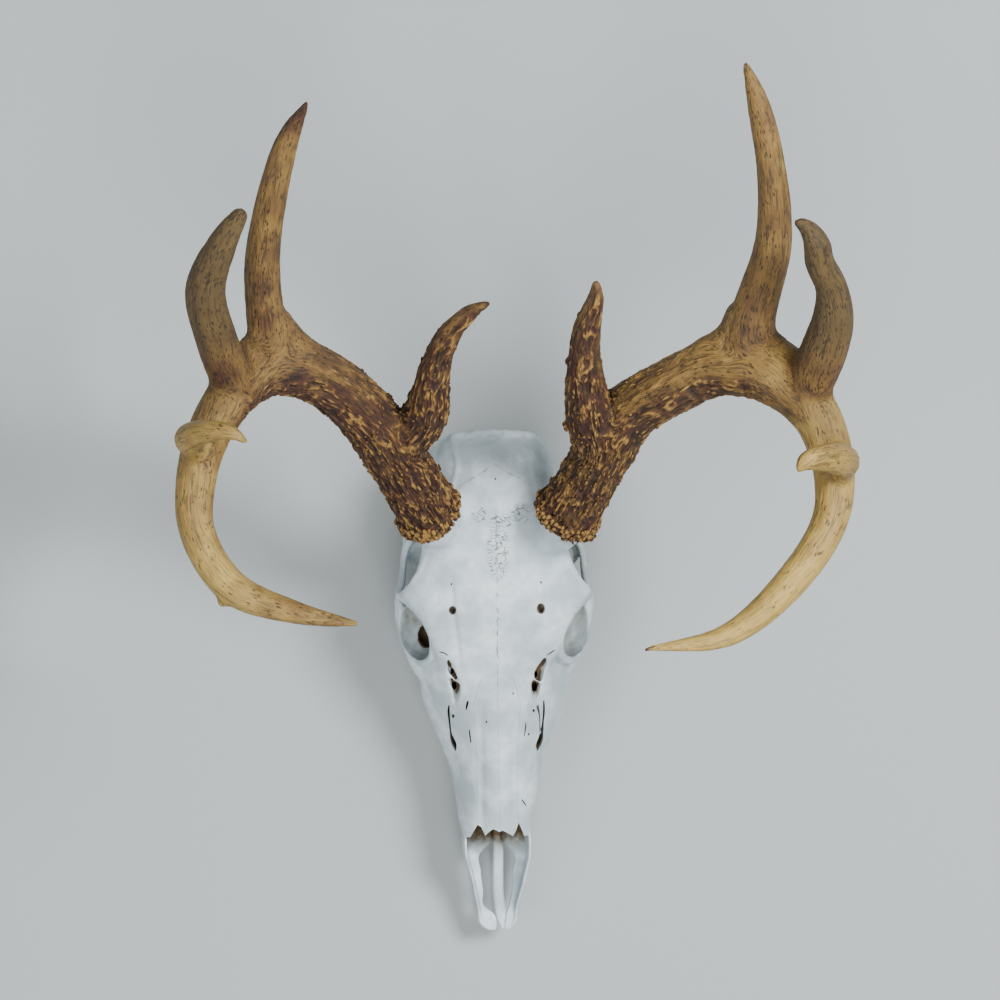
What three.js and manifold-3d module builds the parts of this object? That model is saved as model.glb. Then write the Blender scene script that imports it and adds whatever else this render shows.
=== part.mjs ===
// Upper skull of a white-tailed deer buck with its ten-point antlers, life size, in millimetres.
//
// The skull rests on its cheek teeth and on the jugular processes at the back, as a bare skull lies
// on a table. The nose points to -Y, the forehead faces +Z, and the animal's left is +X.
// Shapes are worked out in the skull's own frame, with the midline at X = 0. At the end the whole
// group is moved so that the origin is the bottom centre of its box.

import * as THREE from "three";
import { mergeVertices } from "three/addons/utils/BufferGeometryUtils.js";
import Module from "manifold-3d";

const wasm = await Module();
wasm.setup();

// ---------- driving dimensions ----------

const SUTURE = 0.3; // clearance between neighbouring bones, and between antler lengths
const NOSE_Y = -257; // tip of the premaxillae
const CREST_Y = 40.5; // back of the nuchal crest
const NASION_Y = -97; // where the nasal bones meet the frontal bone
const NASAL_TIP_Y = -196; // front points of the nasal bones
const RIM_Y = -199; // suture between premaxilla and maxilla
const CHEEK_X = 40; // suture between the face and the zygomatic arch
const ORBIT_FLOOR_Z = 62; // level of the suture between frontal bone and skull base
const BASE_Y = -50; // front end of the skull base
const CORONAL_Y = 9; // frontal and parietal suture at the sides of the braincase
const CORONAL_PEAK_Y = 20.5; // the same suture at the midline
const BURR_RADIUS = 22;
const PEDICLE_RADIUS = 16.5;

const BONE_SIDES = 14;
const BEAM_SIDES = 10;
const TINE_SIDES = 8;
const RINGS_PER_POINT = 2; // rings between two control points of an antler's centreline

// Cross-sections of the skull's main masses, from front to back:
// [y, half width, top, level of the widest point, bottom, squareness above, squareness below]
const FACE = [
  [-199, 20.2, 59, 35, 15, 2.3, 2.8],
  [-180, 22.2, 66, 33, 14, 2.1, 3.0],
  [-158, 26.3, 72, 31, 13, 1.85, 3.0],
  [-144, 31, 76, 31, 13, 1.75, 3.0],
  [-131, 37, 80, 36, 13, 1.7, 2.6],
  [-112, 42, 86, 44, 14, 1.75, 2.3],
  [-97, 43, 91, 54, 20, 1.9, 2.1],
  [-84, 31, 88, 58, 34, 2.0, 2.0],
];
const FOREHEAD = [
  [-104, 16, 84, 78, 72, 2.2, 2.0],
  [-92, 34, 92.5, 83, 70, 2.3, 2.0],
  [-82, 39, 96.5, 85, 72, 2.3, 2.0],
  [-71, 45, 100, 86, 74, 2.2, 2.0],
  [-60, 53, 103.5, 88, 78, 2.1, 2.0],
  [-54, 57, 105, 88, 80, 2.1, 2.0],
  [-47, 53, 106.5, 88, 78, 2.1, 2.0],
  [-36, 47, 108.5, 90, 72, 2.2, 2.0],
  [-22, 43, 109.5, 90, 68, 2.3, 2.0],
  [-8, 35, 108, 88, 72, 2.3, 2.0],
  [4, 24, 103, 86, 76, 2.2, 2.0],
];
const BRAINCASE = [
  [-56, 16, 88, 70, 46, 2.0, 2.0],
  [-38, 28, 101, 72, 42, 2.1, 2.0],
  [-18, 36.5, 109, 72, 38, 2.2, 2.1],
  [2, 39, 110.5, 71, 36, 2.2, 2.2],
  [20, 37, 107, 68, 35, 2.3, 2.2],
  [31, 33.5, 100.5, 66, 34, 2.5, 2.2],
  [38, 28, 94.5, 62, 36, 2.8, 2.2],
];
const SKULL_BASE = [
  [-66, 8, 56, 47, 40, 2.2, 2.4],
  [-40, 10, 56, 44, 35, 2.2, 2.4],
  [-10, 13, 54, 40, 30, 2.2, 2.4],
  [20, 16, 52, 38, 29, 2.2, 2.4],
  [35, 15, 46, 37, 30, 2.2, 2.2],
];
const TOOTH_RIDGE = [
  [-176, 4, 30, 20, 12, 2.2, 2.4],
  [-168, 6.5, 34, 20, 9, 2.2, 2.6],
  [-130, 8, 42, 22, 9, 2.2, 2.8],
  [-100, 8, 44, 24, 9, 2.2, 2.8],
  [-90, 5.5, 42, 28, 14, 2.2, 2.4],
];
const NASAL_CAVITY = [
  [-216, 17.2, 70, 38, 20.5, 2.6, 2.6],
  [-196, 17.4, 54.5, 36, 20.5, 2.6, 2.6],
  [-170, 17, 60, 36, 20.5, 2.4, 2.6],
  [-140, 14, 64, 40, 24, 2.2, 2.2],
];

// Round forms of one side
const ORBIT_CUP = { centre: [37, -74, 67], radii: [19, 23, 22] };
const ORBIT = { centre: [43, -71.5, 70.5], radii: [24, 18.2, 18] };
const JAW_JOINT_SHELF = { centre: [41, -24, 56], radii: [12, 17, 4] };
const AUDITORY_BULLA = { centre: [20, 1, 35], radii: [8, 12, 9] };
const OCCIPITAL_CONDYLE = { centre: [12, 31.5, 29], radii: [8.5, 9.5, 12.5] };
const PREORBITAL_VACUITY = { centre: [24, -103, 82], radii: [2.6, 11.5, 11], turn: 0.33 };
const SUPRAORBITAL_FORAMEN = { centre: [25.3, -62.8, 99], radius: 2.1 };

// Cheek teeth of one side, front to back: [length along the row, width across]
const TEETH = [[9, 9], [10, 11], [10, 12.5], [13.5, 14], [15.5, 15], [15, 14]];
const TOOTH_ROW_FRONT_Y = -171;
const CROWN_HEIGHT = 13;

// One branch of the premaxilla: [y, outer x, inner x, bottom, top of the rim, palate level]
const PREMAXILLA = [
  [-199.3, 20.2, 9, 16, 52, 24],
  [-211, 19.3, 9.6, 16, 43, 24],
  [-222, 16.6, 9, 16, 36, 23],
  [-234, 14.4, 7.2, 16, 30.5, 23],
  [-243, 12.4, 4.8, 16.5, 27, 23],
  [-249, 11.3, 2.4, 17, 25.5, 23.5],
  [NOSE_Y, 4.8, 2.6, 19.5, 23, 22.5],
];
const PREMAXILLA_RIM = 2.4;

// Routes of the thin bones of one side: [x, y, z, half thickness, half height]
const ZYGOMATIC = [
  [36, -108, 46, 4.5, 12],
  [44, -97, 50, 4.5, 12.5],
  [50.5, -84, 53, 3.8, 10.5],
  [54.6, -70, 54, 3.4, 8],
  [55, -56, 57, 3.4, 6.5],
  [52.5, -42, 60, 2.8, 5.5],
  [51, -29, 61, 2.8, 5.5],
  [45, -17, 59, 4, 6],
  [34, -8, 57, 6, 7],
];
const POSTORBITAL_BAR = [
  [53.5, -55, 91, 4, 4],
  [55.6, -54, 80, 2.6, 3.6],
  [55.5, -53, 68, 2.6, 3.6],
  [54.8, -52, 57, 3, 4.5],
];
const JUGULAR_PROCESS = [
  [29, 24, 48, 7, 9],
  [30, 27, 30, 4.6, 6.5],
  [28.5, 26, 12, 3.4, 5],
  [26.5, 22, -3, 2.6, 3.6],
];
const EAR_TUBE = [
  [24, 3, 46, 6, 6],
  [33, 6, 51, 4.6, 5],
  [39.5, 9, 56, 4.2, 4.6],
];
const PTERYGOID = [
  [13.5, -100, 34, 1.6, 12],
  [12.5, -84, 36, 1.4, 13],
  [11.5, -66, 39, 1.3, 11],
  [10.5, -52, 42, 1.3, 7],
];

// Antler centrelines: [x, y, z, radius] for the main beam and its four tines.
const ANTLERS = {
  right: {
    beam: [
      [-38, -6, 120, 17],
      [-47, 9, 138, 16.8],
      [-58, 27, 158, 16.6],
      [-71, 46, 178, 15.8],
      [-92, 66, 197, 15.6],
      [-117, 75, 212, 16.2],
      [-137, 66, 224, 14],
      [-154, 43, 234, 12],
      [-163, 16, 243, 10.6],
      [-163, -13, 249, 9.6],
      [-145, -43, 255, 9],
      [-112, -57, 259, 6],
      [-78, -64, 261, 1.4],
    ],
    brow: [
      [-53, 33, 164, 13],
      [-40, 49, 184, 12],
      [-36, 68, 204, 9],
      [-29, 87, 222, 6.6],
      [-17, 100, 234, 3.9],
      [-6, 105, 240, 1.2],
    ],
    second: [
      [-119, 72, 213, 14.5],
      [-125, 98, 223, 10.8],
      [-126, 130, 239, 9.4],
      [-118, 169, 259, 7.9],
      [-110, 192, 272, 6],
      [-100, 209, 280, 1.4],
    ],
    third: [
      [-141, 60, 228, 11.8],
      [-151, 89, 251, 11],
      [-155, 112, 271, 10.8],
      [-143, 136, 292, 7.4],
      [-130, 152, 304, 1.4],
    ],
    fourth: [
      [-158, 32, 238, 9.6],
      [-165, 35, 266, 8],
      [-156, 38, 287, 6.5],
      [-142, 37, 298, 4.4],
      [-133, 31, 298, 1.2],
    ],
  },
  left: {
    beam: [
      [40, -9, 120, 17],
      [50, 9, 138, 16.6],
      [60, 28, 158, 16.4],
      [72, 47, 178, 15.8],
      [93, 60, 196, 15.6],
      [117, 71, 209, 16.4],
      [143, 66, 222, 15.8],
      [166, 45, 233, 13.2],
      [175, 17, 241, 11.2],
      [173, -12, 248, 9.7],
      [153, -43, 254, 8.7],
      [116, -73, 260, 6.2],
      [70, -80, 263, 1.4],
    ],
    brow: [
      [55, 31, 164, 13.4],
      [49, 50, 186, 12.4],
      [46, 74, 206, 9.2],
      [47, 92, 218, 7.2],
      [51, 108, 231, 3.9],
      [51, 116, 236, 1.4],
    ],
    second: [
      [133, 70, 215, 15],
      [136, 97, 227, 12],
      [145, 134, 245, 9.6],
      [143, 168, 262, 7.6],
      [135, 203, 277, 5.6],
      [127, 226, 285, 1.4],
    ],
    third: [
      [161, 51, 229, 12.3],
      [172, 80, 251, 12],
      [172, 105, 270, 8.8],
      [163, 130, 288, 6],
      [150, 141, 297, 1.4],
    ],
    fourth: [
      [175, 17, 240, 10],
      [178, 17, 262, 8.8],
      [168, 19, 284, 7.3],
      [154, 17, 295, 4.6],
      [149, 12, 295, 1.4],
    ],
  },
};

// Lengths of a beam, each ending past a main fork: [name, last control point]
const BEAM_LENGTHS = [["beam_base", 3], ["beam_inner", 6], ["beam_outer", 9], ["beam_tip", 12]];
const TINES = {
  brow: "brow_tine", second: "second_tine", third: "third_tine", fourth: "fourth_tine",
};

// ---------- finishes ----------

const FINISHES = {
  bone: { color: 0xdde2e3, roughness: 0.62, metalness: 0 },
  bone_shade: { color: 0xcdd3d2, roughness: 0.68, metalness: 0 },
  burr: { color: 0x7a5530, roughness: 0.72, metalness: 0 },
  antler_base: { color: 0x6b4a25, roughness: 0.68, metalness: 0 },
  antler_mid: { color: 0xa98352, roughness: 0.6, metalness: 0 },
  antler_tip: { color: 0xd0b98c, roughness: 0.5, metalness: 0 },
};

const skull = new THREE.Group();

function addBone(name, made, finish) {
  const mesh = new THREE.Mesh(made, new THREE.MeshStandardMaterial(FINISHES[finish]));
  mesh.name = name;
  skull.add(mesh);
}

// ---------- solids and joins ----------

// A closed geometry as a solid that can be joined and cut. Its faces are turned out if need be.
function solid(geometry) {
  const bare = geometry.index ? geometry.toNonIndexed() : geometry.clone();
  bare.deleteAttribute("normal");
  bare.deleteAttribute("uv");
  const merged = mergeVertices(bare, 1e-4);
  const vertProperties = merged.getAttribute("position").array;
  const triVerts = new Uint32Array(merged.index.array);
  const made = new wasm.Manifold(new wasm.Mesh({ numProp: 3, vertProperties, triVerts }));
  if (made.volume() > 0) return made;
  for (let i = 0; i < triVerts.length; i += 3) {
    const first = triVerts[i];
    triVerts[i] = triVerts[i + 1];
    triVerts[i + 1] = first;
  }
  return new wasm.Manifold(new wasm.Mesh({ numProp: 3, vertProperties, triVerts }));
}

function geometryOf(made) {
  const mesh = made.getMesh();
  const places = new Float32Array(mesh.numVert * 3);
  for (let i = 0; i < mesh.numVert; i++) {
    places.set(mesh.vertProperties.subarray(i * mesh.numProp, i * mesh.numProp + 3), i * 3);
  }
  const geometry = new THREE.BufferGeometry();
  geometry.setAttribute("position", new THREE.BufferAttribute(places, 3));
  geometry.setIndex(new THREE.BufferAttribute(mesh.triVerts, 1));
  geometry.computeVertexNormals();
  return geometry;
}

const joined = (solids) => solids.reduce((all, one) => all.add(one));

// The main body of a solid, without the splinters that a cut can leave.
function mainBody(made) {
  return made.decompose().reduce((best, one) => (one.volume() > best.volume() ? one : best));
}

// A cylinder whose rows are moved onto a list of rings, closed by a fan over both ends.
function skin(rings) {
  const steps = rings.length - 1;
  const sides = rings[0].length;
  const tube = new THREE.CylinderGeometry(1, 1, steps, sides, steps);
  const places = tube.getAttribute("position");
  const centres = rings.map((ring) =>
    ring.reduce((sum, point) => sum.add(point), new THREE.Vector3()).divideScalar(sides));
  for (let i = 0; i < places.count; i++) {
    const row = Math.round(places.getY(i) + steps / 2);
    const turn = Math.atan2(places.getX(i), places.getZ(i)) / (2 * Math.PI);
    const onAxis = Math.hypot(places.getX(i), places.getZ(i)) < 0.5;
    const side = (Math.round(turn * sides) + sides) % sides;
    const place = onAxis ? centres[row] : rings[row][side];
    places.setXYZ(i, place.x, place.y, place.z);
  }
  return solid(tube);
}

// A superellipse: squareness 2 is an ellipse, more is boxier, less is more pointed.
function rounded(value, squareness) {
  return Math.sign(value) * Math.abs(value) ** (2 / squareness);
}

// A skin through cross-sections that stand across the skull, smoothly blended between stations.
function mass(stations, rows, sideways = 0, sides = BONE_SIDES) {
  const levels = stations.map((station) => station[0]);
  const sizes = stations.flatMap((station) => station.slice(1));
  const blend = new THREE.CubicInterpolant(levels, sizes, stations[0].length - 1);
  const rings = [];
  for (let row = 0; row <= rows; row++) {
    const y = THREE.MathUtils.lerp(levels[0], levels.at(-1), row / rows);
    const [half, top, wide, bottom, squareAbove, squareBelow] = [...blend.evaluate(y)];
    const ring = [];
    for (let side = 0; side < sides; side++) {
      const angle = (2 * Math.PI * side) / sides;
      const rise = Math.sin(angle);
      const squareness = rise > 0 ? squareAbove : squareBelow;
      const reach = rise > 0 ? top - wide : wide - bottom;
      const x = sideways + half * rounded(Math.cos(angle), squareness);
      ring.push(new THREE.Vector3(x, y, wide + reach * rounded(rise, squareness)));
    }
    rings.push(ring);
  }
  return skin(rings);
}

// Rings square to a smooth centreline, with the radii of its control points blended along it.
function ringsAlong(points, perPoint, sides) {
  const curve = new THREE.CatmullRomCurve3(points.map(([x, y, z]) => new THREE.Vector3(x, y, z)));
  const last = points.length - 1;
  const radii = points.flatMap((point) => [point[3], point[4] ?? point[3]]);
  const blend = new THREE.CubicInterpolant(points.map((_, i) => i), radii, 2);
  const across = new THREE.Vector3(0, 0, 1);
  const rings = [];
  for (let row = 0; row <= last * perPoint; row++) {
    const along = row / perPoint;
    const centre = curve.getPoint(along / last);
    const tangent = curve.getTangent(along / last);
    across.addScaledVector(tangent, -across.dot(tangent)).normalize();
    const side = new THREE.Vector3().crossVectors(tangent, across);
    const [thick, high] = [...blend.evaluate(along)];
    const ring = [];
    for (let k = 0; k < sides; k++) {
      const angle = (2 * Math.PI * k) / sides;
      ring.push(centre.clone()
        .addScaledVector(side, thick * Math.cos(angle))
        .addScaledVector(across, high * Math.sin(angle)));
    }
    rings.push({ centre, tangent, ring });
  }
  return rings;
}

const tube = (points, perPoint, sides) =>
  skin(ringsAlong(points, perPoint, sides).map((row) => row.ring));

// The same route on the other side of the midline.
const onSide = (points, side) => points.map(([x, ...rest]) => [side * x, ...rest]);

// A round form on one side of the skull.
function ellipsoid({ centre: [x, y, z], radii, turn = 0 }, side, sides = 10) {
  const ball = new THREE.SphereGeometry(1, sides, Math.round(sides * 0.6));
  ball.scale(...radii).rotateZ(side * turn).translate(side * x, y, z);
  return solid(ball);
}

function block(low, high) {
  const size = high.map((value, i) => value - low[i]);
  const middle = high.map((value, i) => (value + low[i]) / 2);
  return solid(new THREE.BoxGeometry(...size).translate(...middle));
}

// An upright prism over an outline in the plan.
function prism(outline, bottom, top) {
  const shape = new THREE.Shape(outline.map(([x, y]) => new THREE.Vector2(x, y)));
  const made = new THREE.ExtrudeGeometry(shape, { depth: top - bottom, bevelEnabled: false });
  return solid(made.translate(0, 0, bottom));
}

// ---------- the skull as one mass ----------

const SIDES = { right: -1, left: 1 };
const WALL_CLEAR = 80; // a reach past the skull's sides, for cutting shapes

function toothRow(side) {
  const crowns = [];
  let front = TOOTH_ROW_FRONT_Y;
  for (const [length, width] of TEETH) {
    const y = front + length / 2;
    const x = side * toothX(y);
    const rings = [[CROWN_HEIGHT, 1], [0, 0.86]].map(([z, taper]) =>
      crownOutline(x, y, z, (length / 2) * Math.sqrt(taper), (width / 2) * taper));
    crowns.push(skin(rings));
    front += length + 0.2;
  }
  return crowns;
}

// Distance of the tooth row from the midline: the two rows spread towards the back.
function toothX(y) {
  return THREE.MathUtils.mapLinear(y, -171, -105, 21.5, 28.5);
}

function crownOutline(x, y, z, halfLength, halfWidth) {
  const ring = [];
  for (let k = 0; k < 8; k++) {
    const angle = (2 * Math.PI * (k + 0.5)) / 8;
    const along = halfLength * rounded(Math.sin(angle), 4);
    ring.push(new THREE.Vector3(x + halfWidth * rounded(Math.cos(angle), 4), y + along, z));
  }
  return ring;
}

// A ridge that carries the teeth: it follows the row's splay.
function toothRidge(side) {
  const ridge = TOOTH_RIDGE.map(([y, half, top, wide, bottom]) =>
    [side * toothX(y), y, (top + bottom) / 2, half, (top - bottom) / 2]);
  return tube(ridge, 1, 10);
}

function occipitalPlate() {
  const half = [[0, 94], [18, 93.5], [26, 90], [32, 76], [36.5, 60], [35, 45], [28, 34], [14, 29]];
  const outline = [...half, ...half.slice(1).reverse().map(([x, z]) => [-x, z])];
  const shape = new THREE.Shape(outline.map(([x, z]) => new THREE.Vector2(x, z)));
  const bevel = { bevelThickness: 1.5, bevelSize: 1.2, bevelOffset: -1.2, bevelSegments: 1 };
  const depth = 9;
  const plate = new THREE.ExtrudeGeometry(shape, { depth, ...bevel });
  plate.rotateX(Math.PI / 2).translate(0, CREST_Y - bevel.bevelThickness, 0);
  return solid(plate);
}

function wholeSkull() {
  const masses = [
    mass(FACE, 8),
    mass(FOREHEAD, 8),
    mass(BRAINCASE, 7),
    mass(SKULL_BASE, 4, 0, 8),
    occipitalPlate(),
  ];
  for (const side of Object.values(SIDES)) {
    masses.push(toothRidge(side), ...toothRow(side));
    masses.push(ellipsoid(ORBIT_CUP, side));
    masses.push(tube(onSide(ZYGOMATIC, side), 1, 8));
    masses.push(tube(onSide(POSTORBITAL_BAR, side), 1, 8));
    masses.push(tube(onSide(JUGULAR_PROCESS, side), 2, 8));
    masses.push(tube(onSide(PTERYGOID, side), 1, 8));
    masses.push(tube(onSide(EAR_TUBE, side), 1, 8));
    masses.push(ellipsoid(JAW_JOINT_SHELF, side, 8));
    masses.push(ellipsoid(AUDITORY_BULLA, side, 8));
    masses.push(ellipsoid(OCCIPITAL_CONDYLE, side, 8));
  }
  return openings().reduce((skullMass, gap) => skullMass.subtract(gap), joined(masses));
}

// What is open in the bone: orbits, nasal cavity, vacuities before the orbits, foramina.
function openings() {
  const gaps = [mass(NASAL_CAVITY, 4, 0, 12)];
  gaps.push(block([-WALL_CLEAR, -WALL_CLEAR, -20], [WALL_CLEAR, WALL_CLEAR, 0]));
  gaps.push(block([-13, RIM_Y - 10, 46], [13, NASAL_TIP_Y, 80]));
  const foramenMagnum = new THREE.CylinderGeometry(10, 7, 30, 14);
  gaps.push(solid(foramenMagnum.scale(1.1, 1, 1).translate(0, 32, 43)));
  const choana = new THREE.CylinderGeometry(7.5, 7.5, 40, 12);
  gaps.push(solid(choana.scale(1, 1, 1.3).translate(0, -78, 37)));
  for (const side of Object.values(SIDES)) {
    gaps.push(ellipsoid(ORBIT, side, 12));
    gaps.push(ellipsoid(PREORBITAL_VACUITY, side, 8));
    const { centre: [x, y, z], radius } = SUPRAORBITAL_FORAMEN;
    const foramen = new THREE.CylinderGeometry(radius, radius, 14, 8).rotateX(Math.PI / 2);
    gaps.push(solid(foramen.translate(side * x, y, z)));
  }
  return gaps;
}

// ---------- the skull parted into its bones ----------

const lift = SUTURE / 2;

// The roof over the nose, in two bones that meet at the midline.
function nasalRegion(side) {
  const outline = [
    [lift, -230], [11.6, -230], [11.8, -150], [14, -118], [10, -103], [lift, NASION_Y],
  ].map(([x, y]) => [side * x, y]);
  const roof = [[-230, 46], [-170, 62], [-130, 71], [NASION_Y, 81], [NASION_Y, 110], [-230, 110]];
  const shape = new THREE.Shape(roof.map(([y, z]) => new THREE.Vector2(y, z)));
  const slab = new THREE.ExtrudeGeometry(shape, { depth: 60, bevelEnabled: false });
  slab.rotateX(Math.PI / 2).rotateZ(Math.PI / 2).translate(-30, 0, 0);
  return prism(side > 0 ? outline : outline.reverse(), 30, 120).intersect(solid(slab));
}

// The forehead and the roof of both orbits, back to the inverted V of the coronal suture.
function frontalRegion() {
  const outline = [
    [-WALL_CLEAR, NASION_Y + SUTURE], [WALL_CLEAR, NASION_Y + SUTURE],
    [WALL_CLEAR, CORONAL_Y], [18, CORONAL_Y], [0, CORONAL_PEAK_Y], [-18, CORONAL_Y],
    [-WALL_CLEAR, CORONAL_Y],
  ];
  return prism(outline, ORBIT_FLOOR_Z + SUTURE, 130);
}

function cheekRegion(side, spare = 0) {
  const xs = [side * (CHEEK_X + SUTURE - spare), side * WALL_CLEAR].sort((a, b) => a - b);
  const front = NASION_Y - 1 - spare;
  return block([xs[0], front, 20], [xs[1], -20 + spare, 84 + spare]);
}

// A region grown by a suture's width, as the room that its neighbours leave for it.
function withSuture(region) {
  const step = SUTURE;
  const shifts = [[step, 0, 0], [-step, 0, 0], [0, step, 0], [0, -step, 0], [0, 0, -step]];
  return joined([region, ...shifts.map((shift) => region.translate(shift))]);
}

function partSkull() {
  const whole = wholeSkull();
  const nasals = Object.values(SIDES).map(nasalRegion);
  const cheeks = Object.values(SIDES).map((side) => cheekRegion(side));
  const cheekRoom = joined(Object.values(SIDES).map((side) => cheekRegion(side, SUTURE)));
  const frontal = frontalRegion().subtract(cheekRoom);
  const nasalRoom = joined(nasals.map(withSuture));
  const frontalRoom = withSuture(frontal);
  const rest = whole.subtract(nasalRoom).subtract(frontalRoom).subtract(cheekRoom);
  const bones = { frontal_bone: mainBody(whole.intersect(frontal).add(pedicles())) };
  const backRegion = block([-WALL_CLEAR, BASE_Y, -1], [WALL_CLEAR, WALL_CLEAR, 130]);
  bones.braincase = mainBody(rest.intersect(backRegion));
  Object.keys(SIDES).forEach((name, i) => {
    const side = SIDES[name];
    const xs = [side * lift, side * WALL_CLEAR].sort((a, b) => a - b);
    const face = block([xs[0], RIM_Y - 5, -1], [xs[1], BASE_Y - SUTURE, 130]);
    bones["nasal_bone_" + name] = mainBody(whole.intersect(nasals[i]));
    bones["maxilla_" + name] = mainBody(rest.intersect(face));
    bones["zygomatic_arch_" + name] = mainBody(whole.intersect(cheeks[i]));
  });
  return bones;
}

// Stumps of the frontal bone that carry the antlers: they end just below the burrs.
function pedicles() {
  return joined(Object.keys(SIDES).map((name) => {
    const { foot, tangent } = antlerFoot(name);
    const end = foot.clone().addScaledVector(tangent, -SUTURE);
    const root = new THREE.Vector3(SIDES[name] * 31, -12, 88);
    const neck = end.clone().addScaledVector(tangent, -8);
    return tube([[...root, 14], [...neck, PEDICLE_RADIUS], [...end, PEDICLE_RADIUS]], 1, 12);
  }));
}

// ---------- the front of the nose ----------

function premaxilla(side) {
  const rings = PREMAXILLA.map(([y, outer, inner, bottom, top, shelf]) => [
    [outer, bottom + 2], [outer, (bottom + top) / 2], [outer - 1, top],
    [outer - Math.min(PREMAXILLA_RIM, (outer - inner) * 0.6), top - 0.5],
    [outer - Math.min(PREMAXILLA_RIM + 1, (outer - inner) * 0.7), shelf],
    [inner, shelf - 1], [inner, bottom + 1], [(outer + inner) / 2, bottom],
  ].map(([x, z]) => new THREE.Vector3(side * x, y, z)));
  return skin(rings);
}

// The upright blade in the nasal cavity, which runs out into a bar between the premaxillae.
function vomer() {
  const rows = [
    [-256, 0.9, 20, 22.5], [-250, 1.8, 18.5, 24], [-243, 3, 18, 25], [-225, 3.1, 18, 26],
    [-205, 3, 21, 28], [-192, 2, 21.4, 33], [-150, 1.2, 24.5, 40],
  ];
  const rings = rows.map(([y, half, bottom, top]) => [
    [half, bottom + 1], [half * 0.9, top - 1], [0, top], [-half * 0.9, top - 1],
    [-half, bottom + 1], [0, bottom],
  ].map(([x, z]) => new THREE.Vector3(x, y, z)));
  return skin(rings);
}

// ---------- antlers ----------

// The underside of an antler's burr, and the direction in which the antler grows there.
function antlerFoot(name) {
  const [start] = ringsAlong(ANTLERS[name].beam, RINGS_PER_POINT, BEAM_SIDES);
  const foot = start.centre.clone().addScaledVector(start.tangent, -5);
  return { foot, tangent: start.tangent };
}

// The knobbly crown round the antler's foot: [distance along the antler, radius]
function burr(name, top) {
  const { foot, tangent } = antlerFoot(name);
  const sides = 18;
  const across = new THREE.Vector3(0, 0, 1);
  across.addScaledVector(tangent, -across.dot(tangent)).normalize();
  const side = new THREE.Vector3().crossVectors(tangent, across);
  const profile = [[0, 15.5], [0.6, 20.5], [4, BURR_RADIUS], [7.5, 20.8], [10, 17.6]];
  const rings = profile.map(([distance, radius], row) => {
    const centre = foot.clone().addScaledVector(tangent, distance);
    const knob = row === 2 || row === 3 ? 1.1 : 0;
    return Array.from({ length: sides }, (_, k) => {
      const angle = (2 * Math.PI * k) / sides;
      const reach = radius + (k % 2 ? knob : -knob);
      return centre.clone()
        .addScaledVector(side, reach * Math.cos(angle))
        .addScaledVector(across, reach * Math.sin(angle));
    });
  });
  return skin(rings).subtract(skin(top));
}

// The part of a tine that stands outside the beam, with a suture's width between the two.
function tine(points, beam) {
  const whole = tube(points, RINGS_PER_POINT, TINE_SIDES);
  return mainBody(whole.subtract(beam));
}

function buildAntler(name) {
  const plan = ANTLERS[name];
  const rows = ringsAlong(plan.beam, RINGS_PER_POINT, BEAM_SIDES);
  const fat = plan.beam.map(([x, y, z, radius]) => [x, y, z, radius + SUTURE * 1.3]);
  const beamRoom = tube(fat, RINGS_PER_POINT, BEAM_SIDES);
  const made = {};
  const crown = rows.slice(1).map((row) => row.ring);
  made.burr = burr(name, crown.map((ring, i) =>
    ring.map((point) => point.clone().addScaledVector(rows[i + 1].tangent, -SUTURE))));
  let first = 1;
  for (const [label, lastPoint] of BEAM_LENGTHS) {
    const last = lastPoint * RINGS_PER_POINT;
    const lengthRows = rows.slice(first, last + 1);
    const rings = lengthRows.map((row) => row.ring);
    if (label !== BEAM_LENGTHS[0][0]) {
      rings[0] = rings[0].map((point) =>
        point.clone().addScaledVector(lengthRows[0].tangent, SUTURE));
    }
    made[label] = skin(rings);
    first = last;
  }
  for (const [key, label] of Object.entries(TINES)) made[label] = tine(plan[key], beamRoom);
  return made;
}

// ---------- assembly ----------

for (const [name, bone] of Object.entries(partSkull())) {
  addBone(name, geometryOf(bone), name === "braincase" ? "bone_shade" : "bone");
}
for (const [name, side] of Object.entries(SIDES)) {
  addBone("premaxilla_" + name, geometryOf(premaxilla(side)), "bone");
}
addBone("vomer", geometryOf(vomer()), "bone_shade");

const ANTLER_FINISH = {
  burr: "burr", beam_base: "antler_base", brow_tine: "antler_base", beam_inner: "antler_mid",
  second_tine: "antler_mid", beam_outer: "antler_mid",
};
for (const name of Object.keys(SIDES)) {
  for (const [label, piece] of Object.entries(buildAntler(name))) {
    const finish = ANTLER_FINISH[label] ?? "antler_tip";
    addBone("antler_" + name + "_" + label, geometryOf(piece), finish);
  }
}

const box = new THREE.Box3().setFromObject(skull, true);
const middle = box.getCenter(new THREE.Vector3());
skull.position.set(-middle.x, -middle.y, -box.min.z);

export default skull;
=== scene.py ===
"""The upper skull of a white-tailed deer buck with its ten-point antlers.

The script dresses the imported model: bleached bones, worn cheek teeth and stained, pearled antlers.
Shapes are worked out in millimetres in the skull's own frame, with the midline at X = 0, the nose
towards -Y and the resting plane at Z = 0. They are moved to the model's frame when they are made.
"""

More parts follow.
